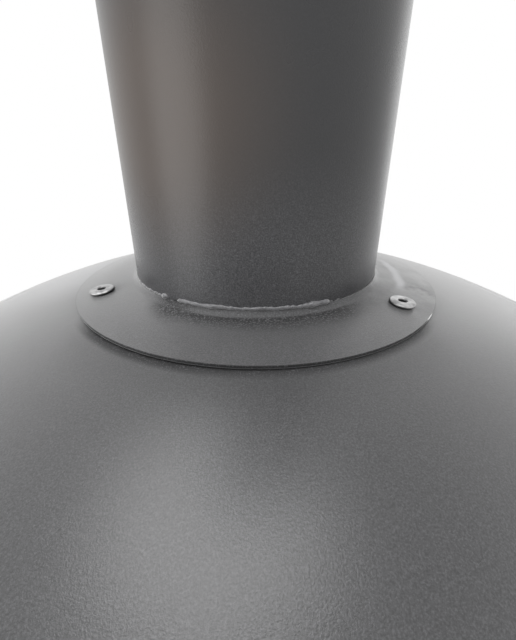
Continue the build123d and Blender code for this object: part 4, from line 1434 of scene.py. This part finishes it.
def wire_tree():
    """Woven wire cloth in the XY plane, cut to a disc."""
    inputs = {"Pitch": "Float", "Wire": "Float", "Radius": "Float", "Sides": "Int", "Material": "Material"}
    tree, given = new_tree("Woven wire", inputs)
    pitch, radius = given["Pitch"], given["Radius"]
    half = (radius / pitch).math("FLOOR", radius / pitch)
    first = pitch.make("ShaderNodeCombineXYZ", None, {"X": -1 * half * pitch, "Y": -1 * half * pitch})
    step = pitch.make("ShaderNodeCombineXYZ", None, {"X": pitch})
    row = {"Count": 2 * half + 1, "Start Location": first, "Offset": step}
    row = pitch.make("GeometryNodeMeshLine", None, row)
    ends = {"Start": (0, 0, 0), "End": pitch.make("ShaderNodeCombineXYZ", None, {"Y": 2 * half * pitch})}
    wire = pitch.make("GeometryNodeCurvePrimitiveLine", None, ends)
    wire = pitch.make("GeometryNodeResampleCurve", None, {"Curve": wire, "Count": WIRE_STEPS * half + 1})
    wires = pitch.make("GeometryNodeInstanceOnPoints", None, {"Points": row, "Instance": wire})
    wires = pitch.make("GeometryNodeRealizeInstances", None, {0: wires})
    families = []
    for sign, turn in ((1, 0.0), (-1, pi / 2)):
        settings = {"Geometry": wires, "Rotation": (0, 0, turn)}
        family = pitch.make("GeometryNodeTransform", None, settings)
        place = pitch.make("GeometryNodeInputPosition")
        x = place.make("ShaderNodeSeparateXYZ", None, {0: place}, 0) * (pi / pitch)
        y = place.make("ShaderNodeSeparateXYZ", None, {0: place}, 1) * (pi / pitch)
        wave = x.math("COSINE", x) * y.math("COSINE", y) * given["Wire"] * (0.5 * sign)
        lift = pitch.make("ShaderNodeCombineXYZ", None, {"Z": wave})
        outside = place.vector_length() - radius
        gone = {"Geometry": family, "Selection": outside.math("GREATER_THAN", outside, 0.0)}
        family = pitch.make("GeometryNodeDeleteGeometry", {"domain": "POINT"}, gone)
        families.append(pitch.make("GeometryNodeSetPosition", None, {"Geometry": family, "Offset": lift}))
    cloth = families[0].make("GeometryNodeJoinGeometry")
    for family in families:
        cloth.socket.node.id_data.links.new(family.socket, cloth.socket.node.inputs[0])
    round_wire = {"Resolution": given["Sides"], "Radius": given["Wire"] * 0.5}
    profile = pitch.make("GeometryNodeCurvePrimitiveCircle", None, round_wire)
    tube = {"Curve": cloth, "Profile Curve": profile, "Fill Caps": True}
    end_tree(pitch.make("GeometryNodeCurveToMesh", None, tube), given["Material"])
    return tree


def spark_screen():
    """Disc of woven wire, clamped between door and ring."""
    piece = placed("spark_screen_cloth", bpy.data.meshes.new("spark_screen_cloth"))
    values = {"Pitch": sizes().pitch, "Wire": sizes().wire, "Radius": SCREEN_RADIUS,
              "Sides": WIRE_SIDES, "Material": finish("screen")}
    grown(piece, wire_tree(), values)
    piece.data.transform(MOUTH @ Matrix.Translation((0, 0, DOOR_BACK - SCREEN_SHEET / 2)))
    return dress(piece, "door_screen")


# Hinges
def on_globe(side, level):
    """Height in the mouth's frame of the globe's surface, with the seat's gap."""
    return sqrt((GLOBE_RADIUS + SEAT_GAP) ** 2 - side**2 - level**2)


def hinge_cheeks():
    """Two pairs of plates that stand on the globe, each with a rounded top bored for the pin."""
    reach = EYE_LENGTH / 2 + SEAT_GAP
    cheeks = []
    for level in HINGE_LEVELS:
        for low in (level - reach - LUG_SHEET, level + reach):
            edge = max(abs(low), abs(low + LUG_SHEET))
            near, far = -HINGE_SIDE + EYE_RADIUS, -HINGE_SIDE - LUG_FOOT / 2
            sides = [far + (near - far) * t / LUG_STEPS for t in range(LUG_STEPS + 1)]
            foot = [Vector((side, on_globe(side, edge))) for side in sides]
            top = circle((-HINGE_SIDE, HINGE_HEIGHT), EYE_RADIUS, 0, 180)
            outline = eased([*foot, *top], LUG_CORNER)
            hole = round_hole((-HINGE_SIDE, HINGE_HEIGHT), PIN_RADIUS + PIN_PLAY)
            stand = MOUTH @ Matrix.Translation((0, low + LUG_SHEET, 0)) @ Matrix.Rotation(pi / 2, 4, "X")
            cheeks.append(plate("cheek", outline, [hole], 0, LUG_SHEET, stand))
    return dress(joined("hinge_cheeks", cheeks), "hinge_lugs")


def hinge_pins():
    """Two drop-in pins with domed heads and chamfered tips."""
    half = EYE_LENGTH / 2 + SEAT_GAP + LUG_SHEET
    outline = [
        (0, half + 0.003), (0.0028, half + 0.003), (0.0042, half + 0.0027), (0.0049, half + 0.002),
        (0.005, half + 0.0012), (0.005, half + 0.0002), (0.0048, half), (PIN_RADIUS, half),
        (PIN_RADIUS, -half - 0.0032), (PIN_RADIUS - 0.0008, -half - 0.004), (0, -half - 0.004),
    ]
    pins = []
    for level in HINGE_LEVELS:
        place = MOUTH @ Matrix.Translation((-HINGE_SIDE, level, HINGE_HEIGHT))
        place = place @ Matrix.Rotation(-pi / 2, 4, "X")
        pins.append(turned("pin", eased(outline, PIN_EDGE, closed=False), place, SMALL_AROUND, closed=False))
    return dress(joined("hinge_drop_pins", pins), "hinge_pins")


# Latch
LATCH_PIVOT = MOUTH @ Matrix.Translation((LATCH_SIDE, 0, 0)) @ Matrix.Rotation(pi / 2, 4, "Z")


def latch_lever():
    """Flat lever with an eye round the bolt and a nose at its other end."""
    half = LATCH_WIDTH / 2
    meet = degrees(asin(half / LATCH_EYE))
    outline = circle((0, 0), LATCH_EYE, meet, 360 - meet) + circle((LATCH_LENGTH, 0), half, -90, 90)
    hole = round_hole((0, 0), M6_HOLE)
    piece = plate("latch_swing_lever", outline, [hole], LATCH_BACK, LATCH_FRONT, LATCH_PIVOT, LATCH_EDGE)
    return dress(piece, "latch_lever")


def latch_knob():
    """Turned ball with a flat on top, on a waisted neck with a collar at its foot."""
    ball = KNOB_HEIGHT - sqrt(KNOB_RADIUS**2 - KNOB_FLAT**2)
    neck_top = ball - sqrt(KNOB_RADIUS**2 - KNOB_NECK**2)
    outline = [(0, 0), (KNOB_NECK, 0)]
    for step in range(KNOB_STEPS + 1):
        swing = 2 * step / KNOB_STEPS - 1
        waist = KNOB_WAIST + (KNOB_NECK - KNOB_WAIST) * swing**2
        outline.append((waist, KNOB_FOOT + (neck_top - KNOB_FOOT) * step / KNOB_STEPS))
    outline += arc((0, ball), KNOB_RADIUS, -degrees(acos(KNOB_NECK / KNOB_RADIUS)),
                   degrees(acos(KNOB_FLAT / KNOB_RADIUS)))[1:]
    outline = eased([*outline, (0, KNOB_HEIGHT)], KNOB_EDGE, closed=False)
    place = LATCH_PIVOT @ Matrix.Translation((LATCH_LENGTH, 0, LATCH_FRONT))
    return dress(turned("latch_ball_knob", outline, place, KNOB_AROUND, closed=False), "latch_knob")


def latch_keeper():
    """Plate on the globe with a notch, open upwards, for the lever's nose."""
    half = KEEPER_WIDTH / 2
    top = LATCH_FRONT + KEEPER_CLEARANCE + KEEPER_TONGUE
    low, high = LATCH_BACK - KEEPER_CLEARANCE, LATCH_FRONT + KEEPER_CLEARANCE
    notch = -LATCH_WIDTH / 2 - SEAT_GAP
    foot = on_globe(KEEPER_SIDE + KEEPER_SHEET / 2, half)
    outline = [(-half, foot), (half, foot), (half, low), (notch, low), (notch, high), (half, high),
               (half, top), (-half, top)]
    outline = eased(outline, KEEPER_CORNER)
    stand = Matrix(((0, 0, 1, KEEPER_SIDE - KEEPER_SHEET / 2), (1, 0, 0, 0), (0, 1, 0, 0), (0, 0, 0, 1)))
    return dress(plate("latch_notched_keeper", outline, [], 0, KEEPER_SHEET, MOUTH @ stand), "latch_keeper")


# Grate
def grate():
    """Cast grate: a rim, bars across it and one stay that crosses them."""
    low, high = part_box("fire_grate")[0].z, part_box("fire_grate")[1].z
    inner, half = GRATE_RADIUS - GRATE_RIM, GRATE_BAR / 2
    rows = int(GRATE_RADIUS / GRATE_PITCH)
    holes = []
    for row in range(-rows - 1, rows + 1):
        bottom, top = row * GRATE_PITCH + half, (row + 1) * GRATE_PITCH - half
        bottom, top = max(bottom, -inner), min(top, inner)
        if top - bottom < GRATE_LEAST:
            continue
        start, end = degrees(asin(bottom / inner)), degrees(asin(top / inner))
        steps = [start + (end - start) * t / GRATE_STEPS for t in range(GRATE_STEPS + 1)]
        curve = [polar(inner, radians(angle)).xy for angle in steps]
        shape = eased([(half, bottom), *curve, (half, top)], GRATE_CORNER)
        holes.append(shape[::-1])
        holes.append([Vector((-p.x, p.y)) for p in shape])
    disc = circle((0, 0), GRATE_RADIUS)
    return dress(plate("fire_grate_casting", disc, holes, low, high, Matrix(), GRATE_EDGE), "fire_grate")


# Legs
def leg_line():
    """Centre line: along the globe, over the knee, down the shin and out along the foot."""
    middle = GLOBE_RADIUS + SEAT_GAP + LEG_SHEET / 2
    hug = arc((0, 0), middle, -LEG_TOP_ANGLE, -LEG_KNEE_ANGLE)
    pen = Pen(hug[-1], -90 - LEG_KNEE_ANGLE).bend(LEG_KNEE_BEND, LEG_KNEE_ANGLE + LEG_SPLAY)
    turn = 90 - LEG_SPLAY
    ankle = -EQUATOR + LEG_SHEET / 2 + LEG_ANKLE_BEND * (1 - cos(radians(turn)))
    pen.go((pen.line[-1].y - ankle) / cos(radians(LEG_SPLAY))).bend(LEG_ANKLE_BEND, turn).go(FOOT_LENGTH)
    return hug[:-1] + pen.line


def legs():
    for way, angle in THREE_WAYS.items():
        node, place = "leg_" + way, GLOBE @ Matrix.Rotation(radians(angle), 4, "Z")
        dress(strip(node + "_bar", leg_line(), LEG_WIDTH, LEG_SHEET, LEG_CORNER, place, LEG_EDGE), node)


class FIREPLACE_OT_globe(bpy.types.Operator):
    """Build both pressed halves of the globe"""

    bl_idname = "fireplace.globe"
    bl_label = "Globe"

    def execute(self, context):
        globe_top()
        globe_bottom()
        return {"FINISHED"}


class FIREPLACE_OT_collars(bpy.types.Operator):
    """Build the spun collars of the flue and the mouth"""

    bl_idname = "fireplace.collars"
    bl_label = "Collars"

    def execute(self, context):
        flue_collar()
        mouth_collar()
        return {"FINISHED"}


class FIREPLACE_OT_flue(bpy.types.Operator):
    """Build the two flue pipes"""

    bl_idname = "fireplace.flue"
    bl_label = "Flue"

    def execute(self, context):
        lower_pipe()
        upper_pipe()
        return {"FINISHED"}


class FIREPLACE_OT_weld(bpy.types.Operator):
    """Build the weld between the collar's lip and the flue"""

    bl_idname = "fireplace.weld"
    bl_label = "Weld"

    def execute(self, context):
        weld()
        return {"FINISHED"}


class FIREPLACE_OT_rivets(bpy.types.Operator):
    """Set the blind rivets of the collars, the rain cap and the door"""

    bl_idname = "fireplace.rivets"
    bl_label = "Rivets"

    def execute(self, context):
        rivets()
        return {"FINISHED"}


class FIREPLACE_OT_rain_cap(bpy.types.Operator):
    """Build the band, the bent straps and the cone of the rain cap"""

    bl_idname = "fireplace.rain_cap"
    bl_label = "Rain cap"

    def execute(self, context):
        cap_band()
        cap_straps()
        cap_cone()
        return {"FINISHED"}


class FIREPLACE_OT_fasteners(bpy.types.Operator):
    """Set the flue's screws and the bolts and nuts of rim, legs and latch"""

    bl_idname = "fireplace.fasteners"
    bl_label = "Screws, bolts and nuts"

    def execute(self, context):
        fasteners()
        return {"FINISHED"}


class FIREPLACE_OT_door(bpy.types.Operator):
    """Build the door's frame and the ring that clamps its screen"""

    bl_idname = "fireplace.door"
    bl_label = "Door"

    def execute(self, context):
        door_frame()
        clamp_ring()
        return {"FINISHED"}


class FIREPLACE_OT_spark_screen(bpy.types.Operator):
    """Weave the wire cloth of the spark screen"""

    bl_idname = "fireplace.spark_screen"
    bl_label = "Spark screen"

    def execute(self, context):
        spark_screen()
        return {"FINISHED"}


class FIREPLACE_OT_hinges(bpy.types.Operator):
    """Build the hinge cheeks on the globe and their drop-in pins"""

    bl_idname = "fireplace.hinges"
    bl_label = "Hinges"

    def execute(self, context):
        hinge_cheeks()
        hinge_pins()
        return {"FINISHED"}


class FIREPLACE_OT_latch(bpy.types.Operator):
    """Build the latch's lever, its knob and its keeper"""

    bl_idname = "fireplace.latch"
    bl_label = "Latch"

    def execute(self, context):
        latch_lever()
        latch_knob()
        latch_keeper()
        return {"FINISHED"}


class FIREPLACE_OT_grate(bpy.types.Operator):
    """Build the cast grate"""

    bl_idname = "fireplace.grate"
    bl_label = "Grate"

    def execute(self, context):
        grate()
        return {"FINISHED"}


class FIREPLACE_OT_legs(bpy.types.Operator):
    """Build the three bent legs"""

    bl_idname = "fireplace.legs"
    bl_label = "Legs"

    def execute(self, context):
        legs()
        return {"FINISHED"}


# Stage
CAMERA_PLACE = (0.0008, -0.1590, 0.9188)
CAMERA_PITCH = 26.18
CAMERA_ROLL = -0.15
SENSOR_HEIGHT = 36.0
NEAREST_SEEN = 0.01
FLOOR_RADIUS = 2.6
FLOOR_AROUND = 128
FLOOR_FADE = (0.9, 0.96 * FLOOR_RADIUS)
FLOOR_DROP = 0.0002
LAMP_TARGET = (0, 0, 0.9)
LAMPS = {
    "softbox": ((-0.4, -0.3, 3.3), 2.2),
    "panel": ((-2.3, -1.4, 1.0), 2.1),
    "rim": ((1.7, 2.6, 1.4), 2.4),
}


def floor_material(colour):
    """Pale floor that fades to plain white towards its edge, where only the camera looks."""
    made = bpy.data.materials.new("pale floor")
    made.use_nodes = True
    made.node_tree.nodes.clear()
    place = Wire(made.node_tree.nodes.new("ShaderNodeTexCoord").outputs["Object"])
    seen = place.make("ShaderNodeLightPath")
    grain = place.noise(0.25, 3)
    matt = place.make("ShaderNodeBsdfDiffuse", None, {0: grain.mix(shade(colour, 0.985), shade(colour, 1.0))})
    white = place.make("ShaderNodeEmission", None, {"Color": (1, 1, 1, 1), "Strength": 1.0})
    far = place.from_axis().span(*FLOOR_FADE)
    surface = place.make("ShaderNodeMixShader", None, {0: seen * far, 1: matt, 2: white})
    place.make("ShaderNodeOutputMaterial", None, {"Surface": surface})
    return made


def floor(colour):
    mesh = bmesh.new()
    bmesh.ops.create_circle(mesh, cap_ends=True, segments=FLOOR_AROUND, radius=FLOOR_RADIUS)
    data = bpy.data.meshes.new("floor")
    mesh.to_mesh(data)
    mesh.free()
    data.transform(Matrix.Translation((0, 0, -FLOOR_DROP)))
    data.materials.append(floor_material(colour))
    piece = bpy.data.objects.new("floor", data)
    bpy.context.scene.collection.objects.link(piece)


def sky(strength):
    """White surroundings: full strength to the camera and in reflections, softer as light."""
    world = bpy.data.worlds.new("white surroundings")
    world.use_nodes = True
    world.node_tree.nodes.clear()
    path = world.node_tree.nodes.new("ShaderNodeLightPath")
    direct, gloss = Wire(path.outputs["Is Camera Ray"]), Wire(path.outputs["Is Glossy Ray"])
    through = Wire(path.outputs["Is Transmission Ray"])
    seen = direct.math("MAXIMUM", direct.math("MAXIMUM", direct, gloss), through)
    glow = {"Color": (1, 1, 1, 1), "Strength": seen + (1 - seen) * strength}
    back = seen.make("ShaderNodeBackground", None, glow)
    back.make("ShaderNodeOutputWorld", None, {"Surface": back})
    bpy.context.scene.world = world


def lamp(name, place, size, power):
    """Round lamp that points at the dome."""
    data = bpy.data.lights.new(name, "AREA")
    data.shape = "DISK"
    data.size = size
    data.energy = power
    made = bpy.data.objects.new(name, data)
    made.location = place
    made.rotation_euler = (Vector(LAMP_TARGET) - Vector(place)).to_track_quat("-Z", "Y").to_euler()
    bpy.context.scene.collection.objects.link(made)


def camera(lens):
    data = bpy.data.cameras.new("camera")
    data.sensor_fit = "VERTICAL"
    data.sensor_height = SENSOR_HEIGHT
    data.lens = lens
    data.clip_start = NEAREST_SEEN
    made = bpy.data.objects.new("camera", data)
    made.location = CAMERA_PLACE
    tilt = Euler((radians(90 - CAMERA_PITCH), 0, 0)).to_matrix()
    roll = Matrix.Rotation(radians(CAMERA_ROLL), 3, "Z")
    made.rotation_euler = (tilt @ roll).to_euler()
    bpy.context.scene.collection.objects.link(made)
    bpy.context.scene.camera = made


class FIREPLACE_OT_stage(bpy.types.Operator):
    """Set the floor, the light and the camera"""

    bl_idname = "fireplace.stage"
    bl_label = "Stage"

    def execute(self, context):
        settings = context.scene.fireplace_stage
        floor(settings.floor)
        sky(settings.sky)
        for name, (place, size) in LAMPS.items():
            lamp(name, place, size, getattr(settings, name))
        camera(settings.lens)
        context.scene.view_settings.view_transform = "Standard"
        return {"FINISHED"}


GROUPS = {
    "fireplace_sizes": FireplaceSizes,
    "fireplace_colours": FireplaceColours,
    "fireplace_stage": FireplaceStage,
}
OPERATORS = (
    FIREPLACE_OT_globe,
    FIREPLACE_OT_collars,
    FIREPLACE_OT_flue,
    FIREPLACE_OT_weld,
    FIREPLACE_OT_rivets,
    FIREPLACE_OT_rain_cap,
    FIREPLACE_OT_fasteners,
    FIREPLACE_OT_door,
    FIREPLACE_OT_spark_screen,
    FIREPLACE_OT_hinges,
    FIREPLACE_OT_latch,
    FIREPLACE_OT_grate,
    FIREPLACE_OT_legs,
    FIREPLACE_OT_stage,
)


class FIREPLACE_PT_sidebar(bpy.types.Panel):
    """Sizes, colours and pieces of the fireplace"""

    bl_label = "Globe fireplace"
    bl_idname = "FIREPLACE_PT_sidebar"
    bl_space_type = "VIEW_3D"
    bl_region_type = "UI"
    bl_category = "Fireplace"

    def draw(self, context):
        for name, group in GROUPS.items():
            box = self.layout.box()
            for field in group.__annotations__:
                box.prop(getattr(context.scene, name), field)
        for operator in OPERATORS:
            self.layout.operator(operator.bl_idname)


def register():
    for name, group in GROUPS.items():
        bpy.utils.register_class(group)
        setattr(bpy.types.Scene, name, PointerProperty(type=group))
    for kind in (*OPERATORS, FIREPLACE_PT_sidebar):
        bpy.utils.register_class(kind)


def unregister():
    for kind in reversed((*OPERATORS, FIREPLACE_PT_sidebar)):
        bpy.utils.unregister_class(kind)
    for name, group in reversed(GROUPS.items()):
        delattr(bpy.types.Scene, name)
        bpy.utils.unregister_class(group)


def main():
    register()
    for operator in OPERATORS:
        family, name = operator.bl_idname.split(".")
        getattr(getattr(bpy.ops, family), name)()


if __name__ == "__main__":
    main()
